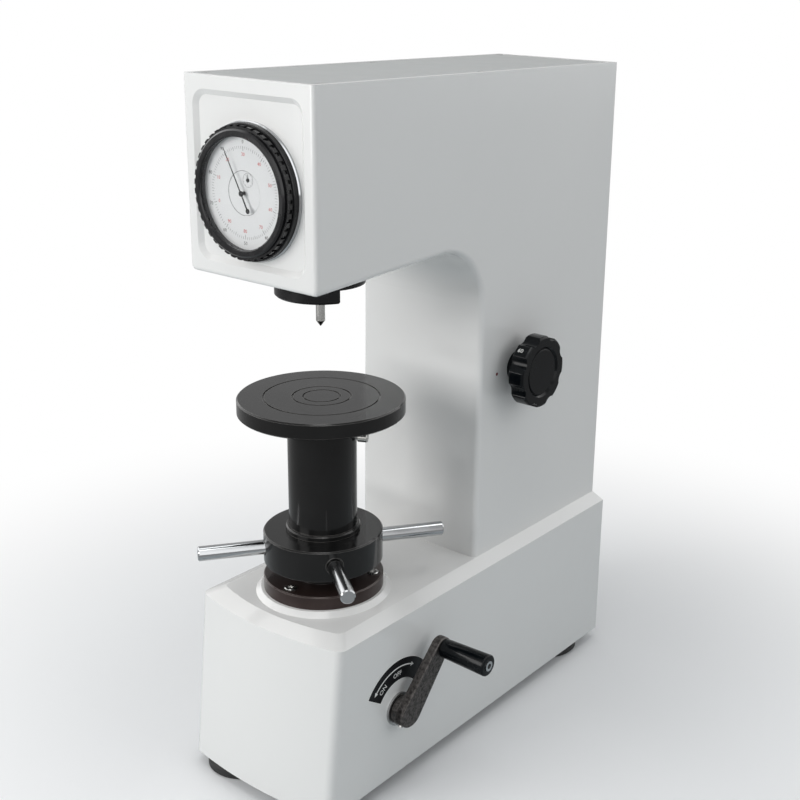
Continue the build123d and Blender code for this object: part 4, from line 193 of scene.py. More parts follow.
room_way = room.nodes.new("ShaderNodeSeparateXYZ")
feed(room, room_way.inputs["Vector"], room.nodes.new("ShaderNodeTexCoord").outputs["Generated"])
direction = calculate(room, "ARCTAN2", room_way.outputs["Y"], room_way.outputs["X"])
wave = calculate(room, "SINE", calculate(room, "MULTIPLY_ADD", direction, WINDOWS, WINDOW_PHASE))
windows = ramp(room, wave, WALL_SHINE, WINDOW_SHINE, *WINDOW_EDGE, smooth=True)
room_pick = room.nodes.new("ShaderNodeMix")
feed(room, room_pick.inputs["Factor"], room_path["Is Glossy Ray"])
feed(room, room_pick.inputs["A"], 1.0)
feed(room, room_pick.inputs["B"], windows)
feed(room, room_seen.inputs["Strength"], room_pick.outputs["Result"])

room_shows = any_of(
    room, room_path["Is Camera Ray"], room_path["Is Glossy Ray"], room_path["Is Transmission Ray"]
)
lighting, backdrop = room_light.outputs["Background"], room_seen.outputs["Background"]
mix_shaders(room, room_shows, lighting, backdrop, room_out.inputs["Surface"])

# %% Lamps and floor
def lamp(name, position, target, size, power, colour):
    """A square soft lamp that faces its target; places are drawing millimetres."""
    data = bpy.data.lights.new(name, "AREA")
    data.shape = "SQUARE"
    data.size = size
    data.energy = power
    data.color = colour
    light = bpy.data.objects.new(name, data)
    scene.collection.objects.link(light)
    start, end = place(*position), place(*target)
    turn = (end - start).to_track_quat("-Z", "Y").to_matrix().to_4x4()
    light.matrix_world = Matrix.Translation(start) @ turn


lamp("front_lamp", (-650, -1500, 800), (0, 0, 330), size=1.0, power=17.8, colour=(1.0, 0.99, 0.98))
lamp("side_lamp", (1500, 500, 1100), (0, 120, 450), size=1.3, power=4.6, colour=(0.98, 0.99, 1.0))
lamp("top_lamp", (0, 0, 1900), (0, 60, 300), size=1.2, power=9, colour=(0.98, 1.0, 1.0))

floor_mesh = bpy.data.meshes.new("studio_floor")
floor = bpy.data.objects.new("studio_floor", floor_mesh)
scene.collection.objects.link(floor)
floor_shape = bmesh.new()
bmesh.ops.create_grid(floor_shape, x_segments=1, y_segments=1, size=9.0)
floor_shape.to_mesh(floor_mesh)
floor_shape.free()

# %% [markdown]
# Every finish below needs a place to read, and all the patterns here read Object
# coordinates: the parts never leave the frame's origin, so a speck on the paint stays
# the same size on every part and turns with the part.
#
# Four effects are used by more than one finish.  Each is a node group, built once:
# a grain that gives a height, a smudge that gives a mask, an edge mask where the
# surface turns a corner, which paints both wear and a highlight on the edge, and rings
# that give a height round an axis, as a lathe tool leaves them.

# %% Helper for node groups
def new_group(name, inputs, outputs):
    """An empty shader group with named sockets, and its input and output sockets."""
    group = bpy.data.node_groups.new(name, "ShaderNodeTree")
    for label, kind, value in inputs:
        socket = group.interface.new_socket(name=label, in_out="INPUT", socket_type=kind)
        if value is not None:
            socket.default_value = value
    for label, kind in outputs:
        group.interface.new_socket(name=label, in_out="OUTPUT", socket_type=kind)
    given, result = group.nodes.new("NodeGroupInput"), group.nodes.new("NodeGroupOutput")
    return group, given.outputs, result.inputs


VALUE, VECTOR = "NodeSocketFloat", "NodeSocketVector"

# %% Grain: a fine, even roughness, given as a height
grain, grain_in, grain_out = new_group(
    "fine_grain",
    [("Place", VECTOR, None), ("Scale", VALUE, 900.0), ("Detail", VALUE, 3.0)],
    [("Height", VALUE)],
)
grain_noise = grain.nodes.new("ShaderNodeTexNoise")
feed(grain, grain_noise.inputs["Vector"], grain_in["Place"])
feed(grain, grain_noise.inputs["Scale"], grain_in["Scale"])
feed(grain, grain_noise.inputs["Detail"], grain_in["Detail"])
feed(grain, grain_out["Height"], grain_noise.outputs["Fac"])

# %% Smudge: large soft patches where hands and rags have been, given as a mask
smudge, smudge_in, smudge_out = new_group(
    "hand_smudge",
    [("Place", VECTOR, None), ("Scale", VALUE, 9.0), ("Amount", VALUE, 0.5)],
    [("Mask", VALUE)],
)
smudge_big = smudge.nodes.new("ShaderNodeTexNoise")
smudge_big.inputs["Detail"].default_value = 3.0
smudge_big.inputs["Roughness"].default_value = 0.5
feed(smudge, smudge_big.inputs["Vector"], smudge_in["Place"])
feed(smudge, smudge_big.inputs["Scale"], smudge_in["Scale"])
smudge_soft = ramp(smudge, smudge_big.outputs["Fac"], 0.0, smudge_in["Amount"], 0.30, 0.75, smooth=True)
feed(smudge, smudge_out["Mask"], smudge_soft)

# %% Worn edge and painted edge highlight: white where the surface turns a corner within the given width
edge, edge_in, edge_out = new_group(
    "worn_and_highlit_edge",
    [("Place", VECTOR, None), ("Width", VALUE, 0.0008), ("Amount", VALUE, 1.0)],
    [("Mask", VALUE)],
)
edge_round = edge.nodes.new("ShaderNodeBevel")
edge_round.samples = 6
edge_flat = edge.nodes.new("ShaderNodeNewGeometry")
edge_turn = edge.nodes.new("ShaderNodeVectorMath")
edge_turn.operation = "DOT_PRODUCT"
edge_patch = edge.nodes.new("ShaderNodeTexNoise")
edge_patch.inputs["Scale"].default_value = 160.0
edge_patch.inputs["Detail"].default_value = 4.0
feed(edge, edge_round.inputs["Radius"], edge_in["Width"])
feed(edge, edge_turn.inputs[0], edge_round.outputs["Normal"])
feed(edge, edge_turn.inputs[1], edge_flat.outputs["Normal"])
feed(edge, edge_patch.inputs["Vector"], edge_in["Place"])
edge_mask = ramp(edge, edge_turn.outputs["Value"], 0.0, 1.0, start=0.985, end=0.86)
edge_broken = calculate(edge, "MULTIPLY", edge_mask, edge_patch.outputs["Fac"])
edge_much = calculate(edge, "MULTIPLY", edge_broken, edge_in["Amount"])
edge_much.node.use_clamp = True
feed(edge, edge_out["Mask"], edge_much)

# %% Lathe rings: a height that changes with the distance from the Z axis of the place it reads
rings, rings_in, rings_out = new_group(
    "lathe_rings", [("Place", VECTOR, None), ("Scale", VALUE, 900.0)], [("Height", VALUE)]
)
rings_wave = rings.nodes.new("ShaderNodeTexWave")
rings_wave.wave_type = "RINGS"
rings_wave.rings_direction = "Z"
rings_wave.inputs["Distortion"].default_value = 1.2
rings_wave.inputs["Detail"].default_value = 3.0
feed(rings, rings_wave.inputs["Vector"], rings_in["Place"])
feed(rings, rings_wave.inputs["Scale"], rings_in["Scale"])
feed(rings, rings_out["Height"], rings_wave.outputs["Fac"])
print("shared effects:", [g.name for g in bpy.data.node_groups])

# %% [markdown]
# A small class keeps each finish short to write.  It starts a material with one
# Principled shader and Object coordinates, adds a group where it is asked for one, and
# joins what the group gives to the shader.  Numbers that are the same all over a part
# are set on the shader's own sockets.

# %% A workbench for finishes
class Finish:
    """One material with its Principled shader."""

    def __init__(self, name, colour, roughness, metallic=0.0, coat=0.0, coat_roughness=0.05, glint=0.5):
        self.material = bpy.data.materials.new(name)
        self.material.use_nodes = True
        self.tree = self.material.node_tree
        self.shader = self.tree.nodes["Principled BSDF"]
        self.surface = self.tree.nodes["Material Output"].inputs["Surface"]
        self.where = self.tree.nodes.new("ShaderNodeTexCoord").outputs["Object"]
        self.colour = colour
        self.shader.inputs["Base Color"].default_value = (*colour, 1)
        self.shader.inputs["Roughness"].default_value = roughness
        self.shader.inputs["Metallic"].default_value = metallic
        self.shader.inputs["Coat Weight"].default_value = coat
        self.shader.inputs["Coat Roughness"].default_value = coat_roughness
        self.shader.inputs["Specular IOR Level"].default_value = glint

    def centred(self, x, y, z):
        """Object coordinates measured from a drawing place."""
        node = self.tree.nodes.new("ShaderNodeMapping")
        node.vector_type = "TEXTURE"
        node.inputs["Location"].default_value = place(x, y, z)
        feed(self.tree, node.inputs["Vector"], self.where)
        return node.outputs["Vector"]

    def effect(self, group, where=None, **values):
        """One of the shared groups, with its values."""
        node = self.tree.nodes.new("ShaderNodeGroup")
        node.node_tree = group
        feed(self.tree, node.inputs["Place"], where or self.where)
        for label, value in values.items():
            node.inputs[label].default_value = value
        return node.outputs[0]

    def tint(self, mask, colour):
        """Mixes another colour in where the mask is bright."""
        mix = self.tree.nodes.new("ShaderNodeMix")
        mix.data_type = "RGBA"
        socket = self.shader.inputs["Base Color"]
        below = socket.links[0].from_socket if socket.is_linked else (*self.colour, 1)
        feed(self.tree, mix.inputs["A"], below)
        mix.inputs["B"].default_value = (*colour, 1)
        feed(self.tree, mix.inputs["Factor"], mask)
        feed(self.tree, socket, mix.outputs["Result"])

    def vary(self, name, mask, low, high):
        """Lets a mask move one of the shader's numbers between two values."""
        feed(self.tree, self.shader.inputs[name], ramp(self.tree, mask, low, high))

    def bump(self, height, strength, distance):
        """Raises and lowers the surface a little by a height."""
        node = self.tree.nodes.new("ShaderNodeBump")
        node.inputs["Strength"].default_value = strength
        node.inputs["Distance"].default_value = distance
        socket = self.shader.inputs["Normal"]
        if socket.is_linked:
            feed(self.tree, node.inputs["Normal"], socket.links[0].from_socket)
        feed(self.tree, node.inputs["Height"], height)
        feed(self.tree, socket, node.outputs["Normal"])


def dress(finish, *names):
    """Gives carried-over parts a finish."""
    for name in names:
        data = nodes[name].data
        data.materials.clear()
        data.materials.append(finish.material)


# %% [markdown]
# The casting is filled, rubbed down and sprayed with gloss white enamel.  Sprayed
# enamel is never quite flat: it keeps a faint orange-peel ripple, and it is a little
# duller where hands rest.  Two bumps do that, one broad and one fine, under a clear
# coat that stays sharp.

# %% White enamel on the casting and its rear cover
enamel = Finish("white_enamel", (0.79, 0.79, 0.78), 0.24, coat=0.35, coat_roughness=0.06)
enamel.tint(enamel.effect(smudge, Scale=4.0, Amount=0.10), (0.70, 0.72, 0.72))
enamel.vary("Roughness", enamel.effect(smudge, Scale=9.0, Amount=1.0), 0.20, 0.27)
enamel.bump(enamel.effect(grain, Scale=55.0, Detail=1.0), 0.10, 0.0015)
enamel.bump(enamel.effect(grain, Scale=420.0, Detail=2.0), 0.05, 0.0003)
dress(enamel, "frame_casting", "rear_cover")

# %% Grey on the sheet-metal cover of the head: painted shade, so the head's top reads darker than the white casting
painted_shade_cover = Finish("painted_shade_cover", (0.40, 0.41, 0.408), 0.50, glint=0.3)
painted_shade_cover.vary("Roughness", painted_shade_cover.effect(smudge, Scale=12.0, Amount=1.0), 0.44, 0.60)
painted_shade_cover.bump(painted_shade_cover.effect(grain, Scale=600.0), 0.15, 0.0003)
dress(painted_shade_cover, "top_cover")

# %% [markdown]
# The table, the capstan and the guard tube are turned from steel and then blackened
# in hot salts.  The finish is thin, so tool marks still show as fine rings, and oil
# makes it shine.  Every sharp corner is made paler toward bare steel: partly wear where
# it is handled, and partly a painted highlight where a rounded edge would catch light.

# %% Black oxide on turned steel
OILED, DRY = 0.8, 1.35  # shares of the roughness where oil lies and where it has gone
FADED = 1.9  # how much paler the black is where it has worn thin
BARE_STEEL_AND_HIGHLIGHT = (0.42, 0.40, 0.38)


def black_oxide(name, colour, roughness):
    """A blackened turned part whose tool rings run round the test axis."""
    finish = Finish(name, colour, roughness, metallic=0.3, coat=0.2, coat_roughness=0.04, glint=0.25)
    oil = finish.effect(smudge, Scale=22.0, Amount=1.0)
    finish.vary("Roughness", oil, roughness * OILED, roughness * DRY)
    finish.bump(finish.effect(rings, finish.centred(0, 0, 0), Scale=260.0), 0.06, 0.0003)
    finish.tint(finish.effect(smudge, Scale=30.0, Amount=0.35), tuple(c * FADED for c in colour))
    # Paler corners: bare steel where the edges are worn, and partly a painted highlight on the edge.
    finish.tint(finish.effect(edge, Width=0.0009, Amount=0.8), BARE_STEEL_AND_HIGHLIGHT)
    return finish


oxide = black_oxide("black_oxide", (0.010, 0.010, 0.010), 0.18)
dress(oxide, "test_table", "capstan_hub", "guard_tube", "thrust_ring")
brown_oxide = black_oxide("brown_oxide", (0.030, 0.019, 0.017), 0.34)
dress(brown_oxide, "screw_flange")

# %% Chrome on the bars, the dial's seat and the grip's end
chrome = Finish("chrome_plate", (0.46, 0.47, 0.48), 0.12, metallic=1.0)
chrome.vary("Roughness", chrome.effect(smudge, Scale=40.0, Amount=1.0), 0.07, 0.20)
chrome.bump(chrome.effect(grain, Scale=700.0), 0.04, 0.0002)
dress(chrome, "capstan_rods", "dial_seat_ring", "grip_pin")

# %% [markdown]
# Ground and turned steel that is only oiled: the spindle, shafts, rods and arms.
# It is bright grey, with fine scratches that blur the reflections.

# %% Plain steel, plated screws and spring wire
steel = Finish("ground_steel", (0.42, 0.42, 0.42), 0.30, metallic=1.0)
steel.vary("Roughness", steel.effect(smudge, Scale=45.0, Amount=1.0), 0.22, 0.42)
steel.bump(steel.effect(grain, Scale=1500.0), 0.10, 0.0002)
dress(
    steel, "spindle", "spindle_guide", "lever_knives", "measuring_lever", "hanger_stirrup", "hanger_rod",
    "dashpot_piston", "selector_shaft", "selector_fork", "crank_bushing", "crank_shaft", "rear_shaft",
    "link_rod", "lift_cam", "lift_rod", "elevating_screw",
)
plated = Finish("zinc_plate", (0.55, 0.55, 0.54), 0.24, metallic=1.0)
plated.vary("Roughness", plated.effect(smudge, Scale=80.0, Amount=1.0), 0.18, 0.36)
plated.tint(plated.effect(smudge, Scale=60.0, Amount=0.3), (0.45, 0.43, 0.36))
dress(
    plated, "top_cover_screws", "rear_cover_screws", "spindle_guard_screws", "indenter", "indenter_screw",
    "spindle_spring", "fulcrum_screws", "measuring_pivots", "fork_post", "crank_screws", "flange_screws",
    "tube_screw", "gauge_plunger",
)

# %% Cast iron, brass and rubber inside and underneath
iron = Finish("machined_iron", (0.10, 0.10, 0.10), 0.55, metallic=0.8)
iron.bump(iron.effect(grain, Scale=500.0), 0.25, 0.0004)
iron.tint(iron.effect(smudge, Scale=18.0, Amount=0.5), (0.14, 0.11, 0.09))
dress(iron, "main_lever", "fulcrum_block", "base_weight", "middle_weight", "lower_weight")
brass = Finish("turned_brass", (0.60, 0.42, 0.16), 0.28, metallic=1.0)
brass.vary("Roughness", brass.effect(smudge, Scale=35.0, Amount=1.0), 0.22, 0.40)
dress(brass, "dashpot_cylinder", "lift_guides", "screw_key_bush")
rubber = Finish("foot_rubber", (0.018, 0.018, 0.018), 0.72)
rubber.bump(rubber.effect(grain, Scale=900.0), 0.4, 0.0003)
dress(rubber, "leveling_feet")

# %% [markdown]
# Three blacks meet on this machine and none is alike: thick gloss enamel on the
# gauge's rim and the spindle's guard, moulded phenolic on the knob and the grip, and
# a rough metallic hammer paint on the crank.

# %% The other blacks
gauge_black = Finish("gauge_enamel", (0.006, 0.006, 0.007), 0.28, coat=0.15, coat_roughness=0.10, glint=0.25)
gauge_black.vary("Roughness", gauge_black.effect(smudge, Scale=60.0, Amount=1.0), 0.2, 0.4)
dress(gauge_black, "dial_case", "spindle_guard", "main_pointer", "turns_pointer")
bezel_black = Finish("bezel_enamel", (0.006, 0.006, 0.007), 0.22, coat=0.25, coat_roughness=0.10, glint=0.3)
bezel_black.vary("Roughness", bezel_black.effect(smudge, Scale=60.0, Amount=1.0), 0.18, 0.34)
dress(bezel_black, "dial_bezel")
phenolic = Finish("moulded_phenolic", (0.002, 0.003, 0.004), 0.14, coat=0.12, coat_roughness=0.04, glint=0.12)
phenolic.vary("Roughness", phenolic.effect(smudge, Scale=50.0, Amount=1.0), 0.14, 0.34)
phenolic.bump(phenolic.effect(grain, Scale=300.0, Detail=1.0), 0.05, 0.0003)
dress(phenolic, "selector_knob", "crank_grip")
hammer = Finish("hammer_paint", (0.105, 0.096, 0.092), 0.46, metallic=0.5, glint=0.3)
hammer.bump(hammer.effect(grain, Scale=420.0, Detail=3.0), 0.8, 0.0008)
hammer.tint(hammer.effect(smudge, Scale=380.0, Amount=1.0), (0.026, 0.023, 0.022))
# Paler corners on the crank's arm: worn paint, and partly a painted highlight on the edge.
hammer.tint(hammer.effect(edge, Width=0.0010, Amount=1.6), (0.36, 0.35, 0.33))
dress(hammer, "crank_arm")

# %% [markdown]
# Clear glass would shade the dial behind it, because light that bends through glass
# is dear to trace.  So the rays that only gather light for the dial, from the lamps
# and from the room, pass straight through the crystal, and the dial is lit as if it
# lay open.

# %% Dial paper and crystal
dial_white = Finish("dial_white", (0.70, 0.70, 0.695), 0.5)
dial_white.bump(dial_white.effect(grain, Scale=1200.0), 0.05, 0.0001)
dial_white.tint(dial_white.effect(smudge, Scale=30.0, Amount=0.08), (0.60, 0.60, 0.59))
dress(dial_white, "dial_plate", "sub_dial")
crystal = Finish("gauge_crystal", (0.98, 0.99, 1.0), 0.03)
crystal.shader.inputs["Transmission Weight"].default_value = 1.0
crystal.shader.inputs["IOR"].default_value = 1.45
crystal_path = crystal.tree.nodes.new("ShaderNodeLightPath").outputs
crystal_passes = any_of(crystal.tree, crystal_path["Is Shadow Ray"], crystal_path["Is Diffuse Ray"])
crystal_open = crystal.tree.nodes.new("ShaderNodeBsdfTransparent").outputs["BSDF"]
mix_shaders(crystal.tree, crystal_passes, crystal.shader.outputs["BSDF"], crystal_open, crystal.surface)
dress(crystal, "dial_glass")

# %% [markdown]
# ## The pieces that a solid model leaves out
#
# Paint, ink and screw threads aren't worth carrying in a solid model, but the eye
# looks for them.  Each is modelled here as a real, closed piece in the machine's own
# place, and rides with the part it is printed on or cut into.  Thin ink is modelled as
# a plate a few hundredths of a millimetre thick, so that it never lies in the same
# plane as the surface under it.

# %% Tools for closed pieces
X_AXIS, Z_AXIS = Vector((1, 0, 0)), Vector((0, 0, 1))
FULL_TURN = 2 * pi
SAME_PLACE = 1e-7  # metres within which two corners are one
SHARP = radians(60)
along_x = Matrix.Rotation(pi / 2, 4, "Y")  # turns what lies along Z to lie along X
upended = Matrix.Rotation(pi / 2, 4, "X")  # turns what lies flat to face the front


def finish_piece(name, shape, finish, body):
    """Turns a bmesh into an object with a finish that rides with a body."""
    bmesh.ops.remove_doubles(shape, verts=shape.verts, dist=SAME_PLACE)
    bmesh.ops.recalc_face_normals(shape, faces=shape.faces)
    mesh = bpy.data.meshes.new(name)
    shape.to_mesh(mesh)
    shape.free()
    mesh.materials.append(finish.material)
    made = bpy.data.objects.new(name, mesh)
    scene.collection.objects.link(made)
    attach(made, body)
    return made


def edges_of(verts):
    """The edges that meet the given corners."""
    return list({edge for vert in verts for edge in vert.link_edges})


def close_ends(shape, sides):
    """Fills the open ends of a swept shape."""
    bmesh.ops.holes_fill(shape, edges=[edge for edge in shape.edges if edge.is_boundary], sides=sides)


def open_rectangle(shape, matrix):
    """The outline of a rectangle, with no face in it; gives its corners."""
    section = bmesh.ops.create_grid(shape, x_segments=1, y_segments=1, size=0.5, matrix=matrix)
    faces = list({face for vert in section["verts"] for face in vert.link_faces})
    bmesh.ops.delete(shape, geom=faces, context="FACES_ONLY")
    return section["verts"]


def bar(shape, matrix, radius, depth, segments, end_radius=None):
    """A closed round bar, or a cone, along Z before the matrix; gives its corners."""
    made = bmesh.ops.create_cone(
        shape, cap_ends=True, segments=segments, radius1=radius, radius2=end_radius or radius, depth=depth,
        matrix=matrix,
    )
    return made["verts"]


def soften(shape, edges, width, segments):
    """Bevels those of the edges that are sharp."""
    sharp = [edge for edge in edges if edge.calc_face_angle(0) > SHARP]
    bmesh.ops.bevel(
        shape, geom=sharp, offset=width, offset_type="OFFSET", segments=segments, profile=0.5,
        affect="EDGES", material=-1,
    )


def swept(shape, centre, axis, inner, outer, low, high, start, sweep, steps):
    """A flat bar of rectangular section swept round an axis, closed at both ends.

    low and high are heights along the axis.  start and sweep are in radians; a full
    turn is joined to itself instead of being capped.
    """
    middle = Matrix.Translation(((inner + outer) / 2, 0, (low + high) / 2))
    size = Matrix.Diagonal((outer - inner, high - low, 1, 1))
    verts = open_rectangle(shape, middle @ upended @ size)
    aim = Z_AXIS.rotation_difference(Vector(axis)).to_matrix().to_4x4()
    to_start = Matrix.Translation(centre) @ aim @ Matrix.Rotation(start, 4, "Z")
    bmesh.ops.transform(shape, matrix=to_start, verts=verts)
    whole = sweep >= FULL_TURN
    bmesh.ops.spin(
        shape, geom=verts + edges_of(verts), cent=centre, axis=axis, angle=sweep, steps=steps, use_merge=whole
    )
    if not whole:
        close_ends(shape, sides=4)


print("piece tools ready")

# %% [markdown]
# Type starts as a text curve, because a font already has good shapes.  It is given a
# little thickness, made into a mesh and only then moved to its place, so that nothing
# in the finished scene depends on the font any more.

# %% Type as solid letters
CAPITAL_SHARE = 0.71  # height of a capital as a share of the type's size


def letters(shape, words, height, thickness, matrix):
    """Adds solid letters to a bmesh: before the matrix they read along X and face Z."""
    curve = bpy.data.curves.new("type_curve", "FONT")
    curve.body = words
    curve.size = height / CAPITAL_SHARE
    curve.align_x = "CENTER"
    curve.align_y = "CENTER"
    curve.resolution_u = 2
    curve.extrude = thickness / 2
    holder = bpy.data.objects.new("type_holder", curve)
    mesh = bpy.data.meshes.new_from_object(holder)
    mesh.transform(matrix)
    shape.from_mesh(mesh)
    bpy.data.objects.remove(holder)
    bpy.data.curves.remove(curve)
    bpy.data.meshes.remove(mesh)


# This black prints the dial's marks and figures, and is also the painted shade in the crank's pin hole.
black_print_and_shade = Finish("black_print_and_shade", (0.012, 0.012, 0.012), 0.5)
red_ink = Finish("red_ink", (0.48, 0.025, 0.02), 0.5)
grey_ink = Finish("grey_ink", (0.16, 0.16, 0.16), 0.5)
white_ink = Finish("white_ink", (0.80, 0.80, 0.78), 0.5)
print("inks:", [ink.material.name for ink in (black_print_and_shade, red_ink, grey_ink, white_ink)])

# %% [markdown]
# ### The dial's printing
#
# One hundred divisions run round the dial.  Every fifth mark is longer and every tenth
# longer still.  The black figures outside the marks count from 0 at the top.  The red
# figures inside them are the scale for softer metals, and stand thirty divisions
# ahead, so 30 is at the top.

# %% Marks, rings and figures on the dial
INK = mm(0.05)
DIVISIONS, TENS = 100, 10
TICK_OUTER, FIGURE_RADIUS, RED_RADIUS = mm(36.2), mm(39.4), mm(29.8)
FIGURE_HEIGHT = mm(2.8)
RED_LEAD = 30
INNER_LINE = (mm(17.2), mm(17.6))
LINE_START, LINE_SWEEP = radians(-270), radians(218)
FACING_REAR = (0, 1, 0)

plate_low, plate_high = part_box("dial_plate")
dial_x, dial_z = (plate_low.x + plate_high.x) / 2, (plate_low.z + plate_high.z) / 2
dial_face = plate_low.y


def dial_place(radius, turn):
    """A place on the dial's face; the turn is clockwise from the top as the dial is read."""
    return Vector((dial_x + radius * sin(turn), dial_face, dial_z + radius * cos(turn)))


def tick_size(i):
    """Length and width of a mark: tens are the longest, then fives, then ones."""
    if i % 10 == 0:
        return mm(3.6), mm(0.32)
    if i % 5 == 0:
        return mm(2.9), mm(0.28)
    return mm(2.1), mm(0.22)


marks = bmesh.new()
for i in range(DIVISIONS):
    turn = FULL_TURN * i / DIVISIONS
    long, wide = tick_size(i)
    size = Matrix.Diagonal((wide, 2 * INK, long, 1))
    spot = Matrix.Translation(dial_place(TICK_OUTER - long / 2, turn)) @ Matrix.Rotation(turn, 4, "Y")
    bmesh.ops.create_cube(marks, size=1.0, matrix=spot @ size)
figures = bmesh.new()
red_figures = bmesh.new()
for i in range(TENS):
    turn = FULL_TURN * i / TENS
    black_spot = Matrix.Translation(dial_place(FIGURE_RADIUS, turn)) @ upended
    letters(figures, str(10 * i), FIGURE_HEIGHT, 2 * INK, black_spot)
    red_spot = Matrix.Translation(dial_place(RED_RADIUS, turn)) @ upended
    letters(red_figures, str((10 * i + RED_LEAD) % DIVISIONS), FIGURE_HEIGHT, 2 * INK, red_spot)
finish_piece("dial_marks", marks, black_print_and_shade, "bezel")
finish_piece("dial_figures", figures, black_print_and_shade, "bezel")
finish_piece("dial_red_figures", red_figures, red_ink, "bezel")

inner_line = bmesh.new()
dial_centre = (dial_x, dial_face, dial_z)
swept(inner_line, dial_centre, FACING_REAR, *INNER_LINE, -INK, INK, LINE_START, LINE_SWEEP, 96)
finish_piece("dial_inner_line", inner_line, grey_ink, "bezel")
print("dial marks:", DIVISIONS, "figures:", 2 * TENS)

# %% [markdown]
# The small dial counts whole turns of the long hand.  It is a fixed disc, seen through
# a hole in the turning dial, so its ring and its ten marks ride with the housing.

# %% The turns dial
TURNS_X, TURNS_Z = 4.5, 554.0
TURNS_RING = (mm(5.3), mm(5.5))
TURNS_MARK_RADIUS, TURNS_MARK_LENGTH, TURNS_MARK_WIDTH = mm(4.7), mm(0.9), mm(0.22)

turns_centre = place(TURNS_X, 0, TURNS_Z)
turns_centre.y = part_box("sub_dial")[0].y
turns_ink = bmesh.new()
swept(turns_ink, turns_centre, FACING_REAR, *TURNS_RING, -INK, INK, 0, FULL_TURN, 64)
for i in range(TENS):
    turn = FULL_TURN * i / TENS
    size = Matrix.Diagonal((TURNS_MARK_WIDTH, 2 * INK, TURNS_MARK_LENGTH, 1))
    spot = Matrix.Translation(turns_centre + TURNS_MARK_RADIUS * Vector((sin(turn), 0, cos(turn))))
    bmesh.ops.create_cube(turns_ink, size=1.0, matrix=spot @ Matrix.Rotation(turn, 4, "Y") @ size)
finish_piece("turns_dial_marks", turns_ink, black_print_and_shade, "stand")
print("turns dial at", [round(v, 4) for v in turns_centre])

# %% [markdown]
# ### The load label
#
# A black arc behind the crank shows which way it turns: toward ON the weights come
# down on the lever, toward OFF they are lifted off it.  A thin white line with an
# arrowhead at each end runs between the words and the label's outer edge.

# %% The arc label on the base
CRANK_Y, CRANK_Z = 4, 79
BASE_SIDE_X = 85.5
LABEL_FIRST, LABEL_LAST = 43, 147  # degrees from the rear toward the top
LABEL_INNER, LABEL_OUTER, BORDER_WIDTH = mm(28.0), mm(49.0), mm(0.8)
LABEL_BACK, BORDER_FRONT, BAND_FRONT, PRINT_FRONT = mm(-0.05), mm(0.10), mm(0.16), mm(0.22)
PRINT_DEPTH, PRINT_MIDDLE = mm(0.26), mm(0.09)
ARROW_RADIUS, ARROW_HALF_WIDTH, HEAD_RADIUS = mm(41.2), mm(0.6), mm(2.6)
ARROW_FIRST, ARROW_LAST = 64, 136
WORD_RADIUS, WORD_HEIGHT = mm(34.6), mm(4.6)
label_centre = place(BASE_SIDE_X, CRANK_Y, CRANK_Z)


def label_spot(radius, degrees):
    """A place in the middle of the print's thickness; the angle runs from the rear toward the top."""
    angle = radians(degrees)
    return label_centre + Vector((PRINT_MIDDLE, radius * cos(angle), radius * sin(angle)))


def label_arc(shape, inner, outer, front, first, last):
    """An arc of the label between two angles, with its back let into the paint."""
    start, sweep = radians(first + 90), radians(last - first)
    swept(shape, label_centre, X_AXIS, inner, outer, LABEL_BACK, front, start, sweep, (last - first) // 2)


def upright_on_side(centre, degrees):
    """Turns type to stand on the base's side, its top away from the crank's axis."""
    angle = radians(degrees)
    top = Vector((0, cos(angle), sin(angle)))
    turn = Matrix((top.cross(X_AXIS), top, X_AXIS)).transposed().to_4x4()
    return Matrix.Translation(centre) @ turn


border = bmesh.new()
label_arc(border, LABEL_INNER, LABEL_OUTER, BORDER_FRONT, LABEL_FIRST, LABEL_LAST)
finish_piece("label_border", border, white_ink, "stand")
band = bmesh.new()
band_inner, band_outer = LABEL_INNER + BORDER_WIDTH, LABEL_OUTER - BORDER_WIDTH
label_arc(band, band_inner, band_outer, BAND_FRONT, LABEL_FIRST + 1, LABEL_LAST - 1)
label_paint = Finish("label_black", (0.004, 0.004, 0.005), 0.40, glint=0.2)
label_paint.vary("Roughness", label_paint.effect(smudge, Scale=60.0, Amount=1.0), 0.34, 0.5)
finish_piece("label_band", band, label_paint, "stand")
arrow = bmesh.new()
line_inner, line_outer = ARROW_RADIUS - ARROW_HALF_WIDTH, ARROW_RADIUS + ARROW_HALF_WIDTH
label_arc(arrow, line_inner, line_outer, PRINT_FRONT, ARROW_FIRST, ARROW_LAST)
for degrees, side in ((ARROW_LAST + 1, 1), (ARROW_FIRST - 1, -1)):
    tip = Matrix.Translation(label_spot(ARROW_RADIUS, degrees))
    aim = Matrix.Rotation(radians(degrees) + side * pi / 2, 4, "X") @ along_x
    bar(arrow, tip @ aim, HEAD_RADIUS, PRINT_DEPTH, segments=3)
for word, degrees in (("ON", 126.0), ("OFF", 92.0)):
    word_spot = upright_on_side(label_spot(WORD_RADIUS, degrees), degrees)
    letters(arrow, word, WORD_HEIGHT, PRINT_DEPTH, word_spot)
finish_piece("label_arrow", arrow, white_ink, "stand")
print("label spans", LABEL_LAST - LABEL_FIRST, "degrees")

# %% [markdown]
# ### The crank and its grip
#
# The crank's arm is a rough casting, so its form is soft: a flat paddle, wide at the
# shaft and narrow at the grip, with rounded edges and a round boss behind it.  Two
# pairs of circles give the paddle.  A convex hull closes round them, the flat faces
# are joined again, and one bevel softens every sharp edge.  The arm leans away from
# the base, so the finished paddle is sheared along its length.

# %% The crank's arm
HUB_RADIUS, TIP_RADIUS = mm(13.0), mm(9.5)
PADDLE_THICKNESS, PADDLE_EDGE = mm(8.6), mm(1.2)
ARM_LEAN = mm(5.0)
BOSS_GAP, BOSS_EDGE = mm(2.0), mm(0.8)
FLAT = radians(1)

